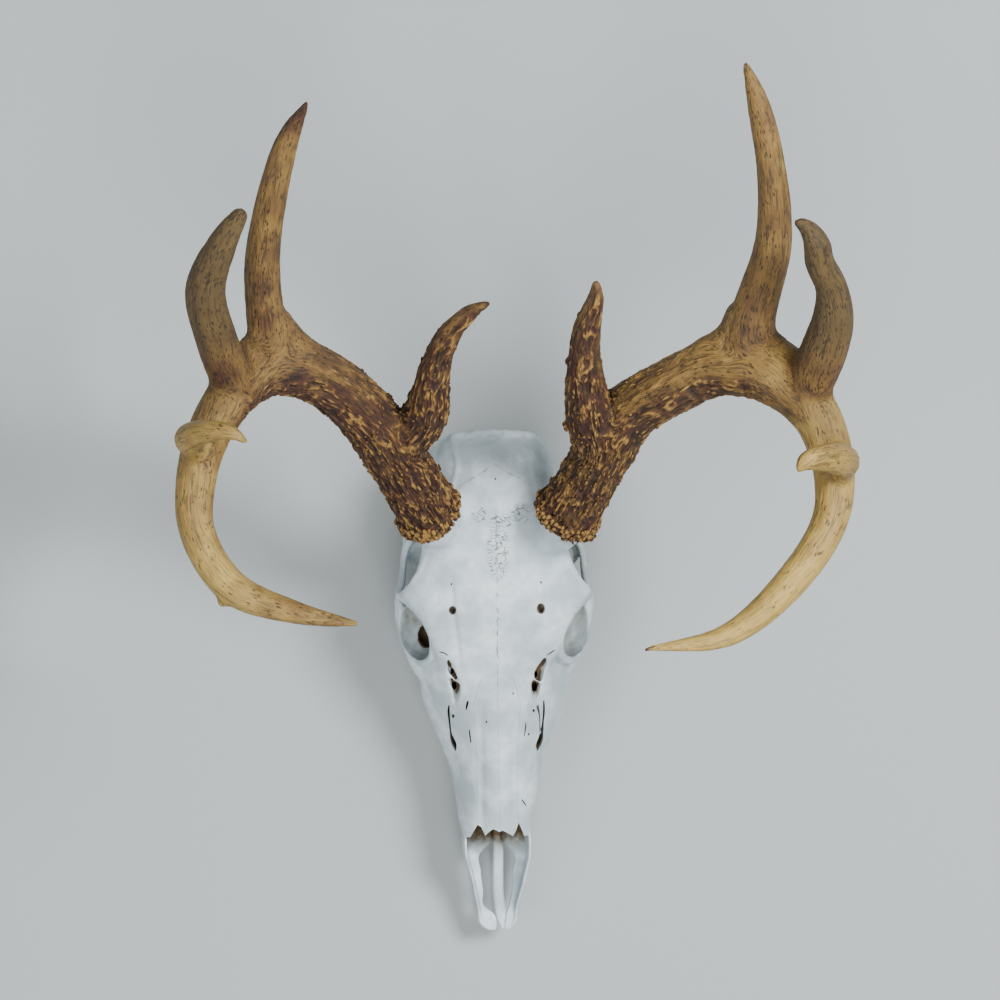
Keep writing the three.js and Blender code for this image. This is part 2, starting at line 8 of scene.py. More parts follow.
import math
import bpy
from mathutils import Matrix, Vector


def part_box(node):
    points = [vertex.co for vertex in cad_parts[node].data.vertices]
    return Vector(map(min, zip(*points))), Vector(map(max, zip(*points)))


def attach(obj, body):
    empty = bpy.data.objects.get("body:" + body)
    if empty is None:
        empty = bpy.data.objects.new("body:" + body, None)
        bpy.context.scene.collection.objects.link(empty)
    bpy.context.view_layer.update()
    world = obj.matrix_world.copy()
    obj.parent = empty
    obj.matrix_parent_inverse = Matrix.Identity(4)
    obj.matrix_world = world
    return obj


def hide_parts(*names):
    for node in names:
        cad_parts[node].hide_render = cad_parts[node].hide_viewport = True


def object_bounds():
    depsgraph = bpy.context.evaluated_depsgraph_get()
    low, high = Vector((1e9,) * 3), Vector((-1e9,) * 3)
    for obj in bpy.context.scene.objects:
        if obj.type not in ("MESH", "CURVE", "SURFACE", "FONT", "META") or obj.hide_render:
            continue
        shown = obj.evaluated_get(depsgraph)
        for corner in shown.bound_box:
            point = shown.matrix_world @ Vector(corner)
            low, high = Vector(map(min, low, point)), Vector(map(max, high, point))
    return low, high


bl_info = {
    "name": "Deer Skull",
    "version": (1, 0, 0),
    "blender": (4, 5, 0),
    "location": "3D View > Sidebar > Deer Skull",
    "description": "Builds a bleached deer skull with a ten-point pair of antlers",
    "category": "Object",
}

from functools import partial
from itertools import product

import bmesh
import bpy
import numpy as np
from bpy.props import FloatProperty, FloatVectorProperty, IntProperty, PointerProperty
from mathutils import Matrix, Vector
from mathutils.bvhtree import BVHTree
from mathutils.kdtree import KDTree

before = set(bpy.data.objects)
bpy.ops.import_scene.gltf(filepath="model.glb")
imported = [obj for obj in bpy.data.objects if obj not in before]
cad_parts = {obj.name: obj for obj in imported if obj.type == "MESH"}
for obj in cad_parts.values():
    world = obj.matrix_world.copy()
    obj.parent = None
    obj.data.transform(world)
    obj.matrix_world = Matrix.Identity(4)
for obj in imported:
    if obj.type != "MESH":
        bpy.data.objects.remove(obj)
CAD_BOX = [list(corner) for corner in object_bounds()]

# ---------- fineness in metres ----------

# The finest detail of the bones and the antlers is set in the panel.
MASS_COARSENESS = 1.7  # the heavy masses' grain, in the grain of the finished bones
NOSE_GRAIN = 0.0005
TOOTH_GRAIN = 0.00045
# Painted shade in the bones' hollows is found with rays on a coarser copy of the skull
SHELTER_GRAIN = 0.0022
SHELTER_REACH = 0.06  # length of the rays that look for bone overhead
SKULL_FILLET = 0.008
LOWER_FILLET = 0.002
UPPER_FILLET = 0.005
SMOOTHED_GRAIN = 0.00088  # the grain that the smoothing steps of the antlers are counted for

# ---------- sizes in millimetres ----------

SIDES = {"right": -1, "left": 1}
BLADE_TIP_Y = -256  # front tip of the nasal blade in the skull's own frame
SUTURE = 0.1  # clearance round the nasal bones
NASION_Y = -97  # back ends of the nasal bones
CHEEK_X = 40.5  # suture between the upper jaw and the cheek arch
ORBIT_FLOOR_Z = 62  # underside of the frontal bone
BASE_Y = -50  # front of the braincase's base
WIDE = 90  # a reach past the skull's sides

# Cross-sections of the skull's main masses, from front to back:
# [y, half width, top, level of the widest point, bottom, squareness above, squareness below]
FACE = [
    [-199, 20.9, 59, 35, 15, 2.3, 2.8],
    [-180, 23.0, 66, 33, 14, 2.1, 3.0],
    [-158, 27.4, 72, 31, 13, 1.85, 3.0],
    [-144, 32.2, 76, 31, 13, 1.75, 3.0],
    [-131, 38.4, 80, 36, 13, 1.7, 2.6],
    [-112, 43, 86, 44, 14, 1.75, 2.3],
    [-97, 43, 91, 54, 20, 1.9, 2.1],
    [-84, 31, 88, 58, 34, 2.0, 2.0],
]
FOREHEAD = [
    [-104, 16, 84, 78, 72, 2.2, 2.0],
    [-92, 34, 92.5, 83, 70, 2.3, 2.0],
    [-82, 39, 96.5, 85, 72, 2.3, 2.0],
    [-71, 45, 100, 86, 74, 2.2, 2.0],
    [-60, 53, 103.5, 88, 78, 2.1, 2.0],
    [-54, 57, 105, 88, 80, 2.1, 2.0],
    [-47, 52, 106.5, 88, 78, 2.1, 2.0],
    [-36, 44.6, 108.5, 90, 72, 2.2, 2.0],
    [-22, 41.5, 109.5, 90, 68, 2.3, 2.0],
    [-8, 35, 108, 88, 72, 2.3, 2.0],
    [4, 24, 103, 86, 76, 2.2, 2.0],
]
BRAINCASE = [
    [-56, 16, 88, 70, 46, 2.0, 2.0],
    [-38, 28, 101, 72, 42, 2.1, 2.0],
    [-18, 36.5, 109, 72, 38, 2.2, 2.1],
    [2, 39, 110.5, 71, 36, 2.2, 2.2],
    [20, 37, 107, 68, 35, 2.3, 2.2],
    [31, 33.5, 100.5, 66, 34, 2.5, 2.2],
    [38, 28, 94.5, 62, 36, 2.8, 2.2],
]
SKULL_BASE = [
    [-66, 8, 56, 47, 40, 2.2, 2.4],
    [-40, 10, 56, 44, 35, 2.2, 2.4],
    [-10, 13, 54, 40, 30, 2.2, 2.4],
    [20, 16, 52, 38, 29, 2.2, 2.4],
    [35, 15, 46, 37, 30, 2.2, 2.2],
]
NASAL_CAVITY = [
    [-216, 17.2, 70, 38, 20.5, 2.6, 2.6],
    [-196, 17.4, 54.5, 36, 20.5, 2.6, 2.6],
    [-170, 17, 60, 36, 20.5, 2.4, 2.6],
    [-140, 14, 64, 40, 24, 2.2, 2.2],
]
TOOTH_RIDGE = [
    [-177, 1.6, 26, 12], [-168, 3.9, 30, 9], [-157, 5, 36, 9], [-144, 6.6, 40, 9], [-130, 8, 42, 9],
    [-100, 8, 44, 9], [-90, 5.5, 42, 14],
]

# Half of the outline of the back of the skull: [x, z]
OCCIPUT = [[0, 94], [13, 94], [21, 92], [27, 86], [32, 74], [36.5, 60], [35, 45], [28, 34], [14, 29], [0, 28]]
CREST_Y = 40.5

# Round forms of one side: [centre], [radii]
ORBIT_CUP = ([37, -75, 62], [19, 23, 17])
ORBIT = ([41, -74, 72], [18.8, 18.5, 17])
ORBIT_BOWL = ([41, -74, 70], [18.3, 18.5, 15.2])
JAW_JOINT_SHELF = ([41, -24, 56], [12, 17, 4])
AUDITORY_BULLA = ([20, 1, 35], [8, 12, 9])
OCCIPITAL_CONDYLE = ([12, 31.5, 29], [8.5, 9.5, 12.5])
TEMPORAL_HOLLOW = ([55, -22, 86], [14, 30, 16])
TEAR_PIT = ([47.5, -104, 66], [6, 8, 8])
# The edge of the forehead over one orbit and the front of its rim, in the plan
ORBIT_EDGE = [
    (59, -55.5), (55.5, -57), (52.5, -58.5), (48.5, -62.5), (44.8, -67.5), (41.6, -73), (39, -79),
    (37.4, -84.5), (38.5, -87.5), (42, -89.5), (47, -89), (52, -85), (58, -76), (62, -64),
]

# Routes of the thin bones of one side: [x, y, z, half thickness, half height]
ZYGOMATIC = [
    [36, -108, 46, 4.5, 12], [44, -97, 50, 4.5, 12.5], [50.5, -84, 53, 3.8, 10.5], [54.6, -70, 54, 3.4, 8],
    [55.3, -56, 57, 2.6, 6.5], [53.2, -42, 60, 1.8, 5.5], [51.6, -29, 61, 1.9, 5.5], [45, -17, 59, 4, 6],
    [34, -8, 57, 6, 7],
]
ORBIT_RIM = [
    [55.4, -54.5, 87, 2.2], [49.5, -60.5, 88, 1.7], [42, -69.5, 88, 1.7], [37.4, -80, 86, 1.8],
    [37.6, -90, 81, 2.2], [42.5, -93.8, 72, 2.8], [48.5, -90, 63, 2.6], [53.8, -81, 56.5, 2.2],
    [56, -70, 56, 2.0], [56.2, -60, 59, 2.2], [55.4, -54.5, 68, 2.6], [55.2, -54, 78, 2.8],
    [55.4, -54.5, 87, 2.2],
]
JUGULAR_PROCESS = [
    [29, 24, 48, 7, 9], [30, 27, 30, 4.6, 6.5], [28.5, 26, 12, 3.4, 5], [26.5, 22, 2.6, 2.6, 3.6],
]
EAR_TUBE = [[24, 3, 46, 6, 6], [33, 6, 51, 4.6, 5], [39.5, 9, 56, 4.2, 4.6]]
PTERYGOID = [
    [13.5, -100, 34, 1.6, 12], [12.5, -84, 36, 1.4, 13], [11.5, -66, 39, 1.3, 11], [10.5, -52, 43, 1.3, 7],
    [10, -36, 47, 1.3, 5],
]
PEDICLE_ROOT = [31, -7, 88, 10.5]
PEDICLE_RADIUS = 13.2

# Gaps in the face: [x, y, half width, half depth], with their height taken from the bone's surface
VACUITY = {
    "right": [
        [-28.2, -91, 0.5, 4], [-27.2, -95, 1.6, 5], [-25.4, -101, 2.3, 5.5], [-24, -107, 2.9, 6],
        [-23.4, -112, 2.0, 5.5], [-24.4, -117.5, 0.4, 3],
    ],
    "left": [
        [28, -91.5, 0.6, 4], [26.4, -96, 2.2, 5], [24.2, -102, 2.9, 5.5], [22.8, -108, 2.9, 6],
        [22.4, -113, 2.0, 5.5], [22.6, -117.5, 0.4, 3],
    ],
}
# Holes in the floors of those gaps: [x, y, half width, half length]
INNER_HOLES = [
    [-25.6, -98.3, 1.2, 2.2], [-24.8, -107.3, 2.1, 3.0], [22.8, -101.4, 1.3, 2.4], [22.0, -108.8, 2.0, 3.2],
]
# Slits and cracks, in the same form as the gaps
FACE_SLIT = {
    "right": [
        [-27.6, -118.5, 0.4, 3], [-27.9, -123, 0.7, 6], [-27.4, -129, 0.6, 5], [-26.6, -136, 0.7, 6],
        [-25, -142, 1.9, 11], [-23.9, -146.6, 0.4, 3],
    ],
    "left": [
        [27.6, -117, 0.4, 3], [27.8, -124, 0.7, 6], [27.2, -131, 0.7, 6], [26.4, -137.5, 1.4, 10],
        [25.2, -143.5, 2.4, 12], [24.2, -148, 0.4, 3],
    ],
}
CRACKS = [
    [[23.6, -119.5, 1.0, 3], [25, -126, 0.4, 3], [25.4, -132, 0.4, 3], [25.6, -137, 0.5, 4]],
    [[-16.6, -115.8, 0.5, 3], [-17.4, -118.6, 0.7, 4], [-17.9, -121.4, 0.3, 3]],
    [[-16.3, -133.2, 0.3, 2], [-15.8, -137, 0.45, 3], [-15.4, -141.1, 0.3, 2]],
    [[16.9, -129.5, 0.3, 2], [16.5, -133.5, 0.4, 3], [16, -137.8, 0.3, 2]],
    [[13.9, -175.4, 0.3, 2], [15.4, -177.6, 0.4, 3], [16.9, -179.7, 0.3, 2]],
    [[-33, -87.0, 0.3, 2], [-30.6, -87.4, 0.45, 3], [-28.2, -89.0, 0.3, 2]],
    [[33.4, -87.2, 0.3, 2], [31, -88.8, 0.45, 3], [28.8, -90.2, 0.3, 2]],
]
# The front edge of the roof of the nose, in the plan
NOSE_OPENING = [
    (-17.2, -201), (-15.9, -197.6), (-12, -190.2), (-9.8, -191.5), (-7.6, -196.7), (-5.4, -194.4),
    (-3, -192.6), (-0.8, -193.4), (0.6, -194.4), (2.6, -193.6), (5.6, -195.2), (8.8, -197.4),
    (10.4, -194.6), (12.3, -189.5), (15.8, -198), (17.2, -201), (17.2, -215), (-17.2, -215),
]
# Splinters of bone that cross the gaps: [x, y, drop below the surface, radius]
STRUTS = {
    "right": [
        [[-28.5, -95.6, 1, 0.6], [-26.6, -96.4, 1.6, 0.5], [-25, -95, 1, 0.6]],
        [[-27.4, -100.4, 1.2, 0.7], [-24.8, -103.4, 2, 0.7], [-22.4, -104.6, 1, 0.7]],
    ],
    "left": [
        [[20.2, -102.6, 1, 0.7], [22.6, -104.8, 1, 0.7], [26.8, -107.2, 0.8, 0.8]],
        [[22.6, -104.8, 1, 0.6], [21.6, -101.6, 1.2, 0.5]],
    ],
}
# Small holes: [x, y, radius]
PINHOLES = [
    [-25.9, -47.7, 0.5], [25.6, -47.7, 0.6], [0.2, 12.1, 0.5], [21.5, -123, 0.8], [-25.4, -125.6, 0.9],
    [9.2, -112, 0.5], [-6.4, -128.6, 0.5], [18.6, -137, 0.6],
]
ORBIT_HOLE = ([-40.3, -79.5, 55.5], [4.2, 6.6, 6])
ORBIT_HOLE_TURN = 0.3  # radians
# Holes in the cheeks and the passages at the back, as centre and radii
CHEEK_FORAMEN = ([29, -150, 40], [5, 4.5, 2.6])
CHOANA = ([0, -62, 37], [7.5, 34, 10])
# The opening of the spinal canal: middle, inner and outer radius, depth and width to height
SPINAL_OPENING = ((0, 33, 43), 7, 10.5, 30, 1.1)
# The holes over the orbits
FORAMEN_X = 25.4
FORAMEN_Y = -62.9
FORAMEN_RADII = {"right": [2.3, 2.7, 7], "left": [2.5, 3.3, 7]}

# Porous patches of the forehead: (middle), (half sizes) in the plan
POROUS_PATCHES = [((1, -29), (7, 19)), ((-10, -8), (5, 5)), ((14, -8), (6, 6.5)), ((4, -12), (8, 4))]
CORONAL_PEAK_Y = 20.5

# The nasal bones' outer edge: [y, x], and the wandering line between them
NASAL_EDGE = [[-104, 9.5], [-118, 13.6], [-132, 12.8], [-150, 11.9], [-170, 11.8], [-186, 12], [-215, 12.2]]
NASAL_MIDLINE = [[-215, 1.2], [-192, 1.1], [-170, 0.7], [-140, 0.3], [-118, 0.3]]
# Side view of the roof of the nasal cavity: (y, z)
NASAL_ROOF = [(-232, 44), (-199, 52), (-170, 58), (-130, 66), (NASION_Y + 3, 78)]

# One branch of the premaxilla: [y, outer x, inner x, bottom, top of the rim, palate level]
PREMAXILLA = {
    "right": [
        [-195.5, 20.2, 2.0, 16, 46, 22.5], [-203, 20.3, 2.4, 16, 46, 23], [-211, 19.7, 9.8, 16, 42.5, 24],
        [-222, 16.8, 9.2, 16, 36, 23], [-234, 14.4, 8.2, 16, 30.5, 23], [-243, 12.8, 7.2, 16.5, 27, 23],
        [-246.6, 12.4, 2.4, 17, 26, 23.5], [-251.5, 11.4, 0.4, 17.5, 25, 23.5],
        [-254.8, 8.8, 0.5, 18.5, 24.2, 23], [-256.9, 5.2, 1.2, 19.5, 23.4, 22.5],
    ],
    "left": [
        [-195.5, 20.4, 3.2, 16, 46, 22.5], [-203, 20.8, 3.4, 16, 46, 23], [-211, 20.6, 10.4, 16, 42.5, 24],
        [-222, 18.4, 9.6, 16, 36, 23], [-234, 15.6, 9, 16, 30.5, 23], [-241, 13.6, 7.6, 16.5, 27.5, 23],
        [-246, 12.8, 5.9, 17, 26, 23.5], [-251.5, 12.2, 4.9, 17.5, 25, 23.5],
        [-255, 9.4, 4.3, 18.5, 24.2, 23], [-256.8, 6.4, 4.2, 19.5, 23.4, 22.5],
    ],
}
PREMAXILLA_RIM = 2.2
# The blade in the nose: [y, middle x, half width, bottom, top]
NASAL_BLADE = [
    [-256.3, 3.3, 0.8, 19.8, 22.6], [-251.7, 2.5, 2.1, 18.5, 24], [-245, 2.0, 3.2, 18, 25],
    [-237, 1.0, 3.3, 18, 26], [-225, 0.9, 3.2, 18, 26], [-205, 1.0, 3.1, 21, 28], [-192, 0, 2.2, 21.4, 33],
    [-150, 0, 1.2, 24.5, 40],
]

# Cheek teeth of one side, front to back: [length along the row, width across, lobes]
TEETH = [[9, 8.4, 1], [10, 11, 1], [10, 12.5, 1], [13.5, 14, 2], [15.5, 15, 2], [15, 14, 2]]
TOOTH_ROW_FRONT_Y = -171
CROWN_HEIGHT = 14

# Antler centrelines: [x, y, z, radius]
ANTLERS = {
    "right": {
        "beam": [
            [-38, -6, 120, 17], [-47, 9, 138, 16.8], [-58, 27, 158, 16.6], [-71, 46, 178, 15.8],
            [-92, 66, 197, 15.6], [-117, 75, 212, 16.2], [-137, 66, 224, 14], [-154, 43, 234, 12],
            [-163, 16, 243, 10.6], [-163, -13, 249, 9.6], [-145, -43, 255, 9], [-112, -57, 259, 6],
            [-78, -64, 261, 1.4],
        ],
        "brow": [
            [-53, 33, 164, 13], [-40, 49, 184, 12], [-36, 68, 204, 9], [-29, 87, 222, 6.6],
            [-17, 100, 234, 3.9], [-6, 105, 240, 1.2],
        ],
        "second": [
            [-119, 72, 213, 14.5], [-125, 98, 223, 10.8], [-126, 130, 239, 9.4], [-118, 169, 259, 7.9],
            [-110, 192, 272, 6], [-100, 209, 280, 1.4],
        ],
        "third": [
            [-141, 60, 228, 11.8], [-151, 89, 251, 11], [-155, 112, 271, 10.6], [-146, 133, 289, 8.2],
            [-137, 146.5, 298, 5.2], [-133, 151, 300, 3.2],
        ],
        "fourth": [
            [-158, 32, 238, 9.6], [-165, 35, 266, 8], [-156, 38, 287, 6.5], [-142, 37, 298, 4.4],
            [-133, 31, 298, 1.2],
        ],
    },
    "left": {
        "beam": [
            [40, -9, 120, 17], [50, 9, 138, 16.6], [60, 28, 158, 16.4], [72, 47, 178, 15.8],
            [93, 60, 196, 15.6], [117, 70, 209, 15.6], [143, 66, 222, 15.8], [166, 45, 233, 13.2],
            [175, 17, 241, 11.2], [173, -12, 248, 9.7], [153, -43, 254, 8.7], [116, -73, 260, 6.2],
            [70, -80, 263, 1.4],
        ],
        "brow": [
            [55, 31, 164, 13.4], [49, 50, 186, 12.4], [46, 74, 206, 9.2], [47, 92, 218, 7.2],
            [51, 108, 231, 3.9], [51, 116, 236, 1.4],
        ],
        "second": [
            [133, 70, 215, 15], [136, 97, 227, 12], [145, 134, 245, 9.6], [143, 168, 262, 7.6],
            [135, 203, 277, 5.6], [127, 225.5, 285, 1.4],
        ],
        "third": [
            [161, 51, 229, 12.3], [171, 78, 250, 12.2], [174, 92.6, 261, 10.6], [172, 108, 272, 8.1],
            [164.5, 121, 283, 7.3], [162, 130.5, 290, 6.5], [156, 138.5, 294.5, 3.9],
            [149.8, 141.2, 296.5, 1.4],
        ],
        "fourth": [
            [175, 17, 240, 10], [178, 17, 262, 8.6], [168, 19, 284, 7.3], [154, 17, 295, 4.6],
            [149, 12, 295, 1.4],
        ],
    },
}
# Webs of antler in the forks: routes like the ones above
WEBS = {
    "right": [
        [[-104, 78, 211, 11], [-113, 86, 216, 10.4], [-121, 98, 222, 9.6]],
        [[-128, 84, 221, 9], [-139, 77, 227, 9.5]],
    ],
    "left": [
        [[112, 75, 210, 11], [124, 84, 217, 9.4], [132, 98, 225, 10]],
        [[145, 80, 221, 8.5], [157, 70, 229, 9]],
    ],
}
# How ripe the surface is at a route's start and tip: 0 is dark and rough, 1 is pale and smooth
RIPENESS = {
    "beam": (0, 1), "brow": (0.1, 0.36), "second": (0.34, 0.5), "third": (0.26, 0.36), "fourth": (0.66, 0.84),
}
BEAM_RIPENING = 330  # length of beam over which the dark base turns pale
RIPENING_CURVE = {"right": 1.35, "left": 0.78}
# Length and strength of each dark tip
TIP_STAIN = {
    "right": {"beam": (80, 0.42), "second": (30, 0.9), "brow": (4, 0.9)}, "left": {"beam": (5, 0.9)},
}
BURR_PROFILE = [[-5, 12.0], [-4.6, 14.6], [-2.6, 17.2], [-0.4, 18.7], [2.6, 18.6], [6.5, 16.8]]
BURR_LEAN = 0.13  # how far the burr leans away from the beam's direction, towards the outside
# Knobs that stand out of the antlers: [x, y, z, radius]
KNOBS = {
    "right": [
        [-29, 61.5, 198, 2.4], [-30.5, 51, 186, 2.4], [-33.5, 40.5, 173, 2.4], [-28.4, 73, 208, 2.0],
        [-150, -51, 255, 2.6],
    ],
    "left": [
        [39.3, 84, 213, 2.4], [37.4, 74.6, 206, 2.4], [38.2, 63.5, 197, 2.6], [38.6, 51.7, 187, 2.4],
        [38.5, 41, 175, 2.8],
    ],
}
ANTLER_STEPS = 14  # rings between two control points
TIP_ROUND = 2.4  # length over which a tip is rounded off
LOWER_NODES = ["burr", "beam_base", "brow_tine"]
UPPER_NODES = ["beam_inner", "beam_outer", "beam_tip", "second_tine", "third_tine", "fourth_tine"]

# Tooth columns from the root down to the worn face and into its valley: (level, share of the full width)
TOOTH_COLUMN = [
    (CROWN_HEIGHT, 0.86), (9, 0.93), (4, 1.0), (1, 1.0), (0.15, 0.93), (0.0, 0.84), (0.9, 0.7), (2.4, 0.58),
    (2.4, 0.46), (0.8, 0.36), (0.2, 0.24), (0.5, 0.05),
]

# Lamps in the model's frame, in metres and watts: name, place, size, power
LAMPS = [
    ("key_light", (1.2, 0.6, 2.1), 0.8, 80), ("fill_light", (-1.6, -0.7, 2.0), 1.8, 22),
    ("top_light", (0.1, -1.5, 2.7), 1.6, 60),
]
LAMP_AIM = Vector((0, 0, 0.12))
SKY = "E8EEF2"
SKY_STRENGTH = 0.3

# Camera, in the skull's frame
CAMERA_AIM = Vector((3, 0, 100))
CAMERA_DISTANCE = 1900
CAMERA_LEAN = math.radians(2.3)  # towards -X from straight above
CAMERA_ROLL = math.radians(1.03)
CAMERA_LENS = 119.16


def skull_origin():
    """Where the skull's own frame has its origin, in metres in the model's frame."""
    low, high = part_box("vomer")
    return np.array([(low.x + high.x) / 2, low.y - BLADE_TIP_Y / 1000, 0.0])


ORIGIN = skull_origin()


# ---------- curves and noise ----------


def blended(levels, values, at):
    """Values between stations, on a cubic whose slopes follow each station's neighbours."""
    levels = np.asarray(levels, float)
    values = np.asarray(values, float)
    slopes = np.gradient(values, levels, axis=0)
    index = np.clip(np.searchsorted(levels, at, side="right") - 1, 0, len(levels) - 2)
    span = (levels[index + 1] - levels[index])[:, None]
    t = (at - levels[index])[:, None] / span
    rise = (3 - 2 * t) * t * t
    bend = (t * (t - 1) ** 2) * span * slopes[index] + (t * t * (t - 1)) * span * slopes[index + 1]
    return values[index] * (1 - rise) + values[index + 1] * rise + bend


def rough(points, size, seed):
    """Smooth noise from -1 to 1, with bumps about `size` wide."""
    lattice = np.random.default_rng(seed).uniform(-1, 1, (32, 32, 32))
    places = points / np.asarray(size, float)
    cell = np.floor(places).astype(int)
    t = places - cell
    t = t * t * (3 - 2 * t)
    total = np.zeros(len(points))
    for corner in product((0, 1), repeat=3):
        weight = np.prod(np.where(corner, t, 1 - t), axis=1)
        total += weight * lattice[tuple(((cell + corner) % 32).T)]
    return total


def ramp(values, low, high):
    """0 below `low`, 1 above `high` and a smooth rise between them; the ends may be swapped."""
    t = np.clip((values - low) / (high - low), 0, 1)
    return t * t * (3 - 2 * t)


def squared(values, squareness):
    """A sine or cosine pushed outwards, so that its circle turns towards a square."""
    return np.sign(values) * np.abs(values) ** (2 / squareness)


def section_rings(stations, rows, sides):
    """Rings that stand across the skull, through a list of its cross-sections."""
    stations = np.asarray(stations, float)
    levels = np.linspace(stations[0, 0], stations[-1, 0], rows)
    sizes = blended(stations[:, 0], stations[:, 1:], levels)[:, :, None]
    half, top, wide, bottom, above, below = np.moveaxis(sizes, 1, 0)
    turn = np.linspace(0, 2 * math.pi, sides, endpoint=False)[None, :]
    rise = np.sin(turn)
    squareness = np.where(rise > 0, above, below)
    reach = np.where(rise > 0, top - wide, wide - bottom)
    x = half * squared(np.cos(turn), squareness)
    z = wide + reach * squared(rise, squareness)
    y = np.broadcast_to(levels[:, None], x.shape)
    return np.stack([x, y, z], axis=2)


def roof_height(x, y):
    """The levels of the skull's top surface over points of the plan."""
    best = np.zeros(len(x))
    for stations in (FACE, FOREHEAD, BRAINCASE):
        stations = np.asarray(stations, float)
        within = np.clip(y, *stations[[0, -1], 0])
        half, top, wide, _, above, _ = blended(stations[:, 0], stations[:, 1:], within).T
        across = np.minimum(np.abs(x) / half, 1)
        level = wide + (top - wide) * (1 - across**above) ** (1 / above)
        inside = (y >= stations[0, 0]) & (y <= stations[-1, 0])
        best = np.where(inside, np.maximum(best, level), best)
    return best


def on_roof(x, y, lift=0.0):
    """A point of the skull's top surface, or `lift` above it."""
    return [x, y, float(roof_height(np.array([x]), np.array([y]))[0]) + lift]


class Route:
    """A smooth centreline through control points, with its frames and radii."""

    def __init__(self, points, per_span):
        points = np.asarray(points, float)
        steps = np.linalg.norm(np.diff(points[:, :3], axis=0), axis=1)
        knots = np.concatenate([[0], np.cumsum(np.sqrt(steps))])
        at = np.concatenate([
            np.linspace(start, end, per_span, endpoint=False) for start, end in zip(knots, knots[1:])
        ] + [knots[-1:]])
        made = blended(knots, points, at)
        self.centres = made[:, :3]
        self.radii = np.maximum(made[:, 3:], 0.3)
        self.knots = np.arange(len(points)) * per_span
        self.tangents = np.gradient(self.centres, axis=0)
        self.tangents /= np.linalg.norm(self.tangents, axis=1, keepdims=True)
        moved = np.linalg.norm(np.diff(self.centres, axis=0), axis=1)
        self.lengths = np.concatenate([[0], np.cumsum(moved)])
        across = np.array([0.0, 0.0, 1.0])
        self.across = np.empty_like(self.centres)
        for row, tangent in enumerate(self.tangents):
            across = across - tangent * (across @ tangent)
            across /= np.linalg.norm(across)
            self.across[row] = across
        self.sideways = np.cross(self.tangents, self.across)

    def rings(self, sides, closed_tip=False):
        """Rings of points round the route, drawn in at the end if it is a tip."""
        turn = np.linspace(0, 2 * math.pi, sides, endpoint=False)
        thick = self.radii[:, 0]
        high = self.radii[:, -1]
        if closed_tip:
            left = np.minimum(self.lengths[-1] - self.lengths, TIP_ROUND)
            shrink = np.sqrt(np.clip(1 - (1 - left / TIP_ROUND) ** 2, 0.04, 1))
            thick = thick * shrink
            high = high * shrink
        return (
            self.centres[:, None]
            + self.sideways[:, None] * (thick[:, None] * np.cos(turn))[:, :, None]
            + self.across[:, None] * (high[:, None] * np.sin(turn))[:, :, None]
        )


def on_side(points, side):
    """Points of the left side of the skull, or their mirror images on the right."""
    return [[side * point[0], *point[1:]] for point in points]


# ---------- meshes ----------


def skin(rings):
    """A closed skin over rings of points: a grid rolled up, its seam merged and its ends filled."""
    rows, sides = rings.shape[:2]
    made = bmesh.new()
    grid = bmesh.ops.create_grid(made, x_segments=sides, y_segments=rows - 1, size=1)
    for vert in grid["verts"]:
        column = round((vert.co.x + 1) / 2 * sides) % sides
        row = round((vert.co.y + 1) / 2 * (rows - 1))
        vert.co = rings[row, column]
    bmesh.ops.remove_doubles(made, verts=made.verts, dist=1e-4)
    rims = [edge for edge in made.edges if edge.is_boundary]
    bmesh.ops.holes_fill(made, edges=rims, sides=0)
    bmesh.ops.recalc_face_normals(made, faces=made.faces)
    return made


def ball(form, side=1, turn=0.0):
    """An ellipsoid from its centre and radii, on one side of the skull."""
    centre, radii = form
    made = bmesh.new()
    place = Matrix.Translation((side * centre[0], centre[1], centre[2]))
    turned = Matrix.Rotation(side * turn, 4, "Z")
    bmesh.ops.create_uvsphere(
        made, u_segments=48, v_segments=32, radius=1, matrix=place @ turned @ Matrix.Diagonal((*radii, 1))
    )
    return made


def drawn_out(outline, reach):
    """A closed solid: a flat outline drawn out along `reach`."""
    made = bmesh.new()
    face = made.faces.new([made.verts.new(point) for point in outline])
    other = bmesh.ops.extrude_face_region(made, geom=[face])
    moved = [item for item in other["geom"] if isinstance(item, bmesh.types.BMVert)]
    bmesh.ops.translate(made, verts=moved, vec=reach)
    bmesh.ops.recalc_face_normals(made, faces=made.faces)
    return made


def prism(outline, bottom, top):
    """An upright prism over an outline in the plan."""
    return drawn_out([(x, y, bottom) for x, y in outline], (0, 0, top - bottom))


def joined(parts):
    """Several bmeshes as one, which stay separate shells."""
    whole = bmesh.new()
    for part in parts:
        mesh = bpy.data.meshes.new("part")
        part.to_mesh(mesh)
        part.free()
        whole.from_mesh(mesh)
        bpy.data.meshes.remove(mesh)
    return whole


def as_object(name, made):
    """A bmesh in millimetres in the skull's frame as an object in metres in the model's frame."""
    place = Matrix.Translation(Vector(ORIGIN)) @ Matrix.Scale(0.001, 4)
    bmesh.ops.transform(made, matrix=place, verts=made.verts)
    mesh = bpy.data.meshes.new(name)
    made.to_mesh(mesh)
    made.free()
    piece = bpy.data.objects.new(name, mesh)
    bpy.context.scene.collection.objects.link(piece)
    return piece


def discard(piece):
    mesh = piece.data
    bpy.data.objects.remove(piece)
    bpy.data.meshes.remove(mesh)


def modified(piece, kind, **settings):
    """The piece with one modifier applied to its mesh."""
    modifier = piece.modifiers.new(kind.title(), kind)
    for name, value in settings.items():
        setattr(modifier, name, value)
    depsgraph = bpy.context.evaluated_depsgraph_get()
    mesh = bpy.data.meshes.new_from_object(piece.evaluated_get(depsgraph))
    piece.modifiers.clear()
    old = piece.data
    piece.data = mesh
    bpy.data.meshes.remove(old)
    mesh.name = piece.name
    return piece


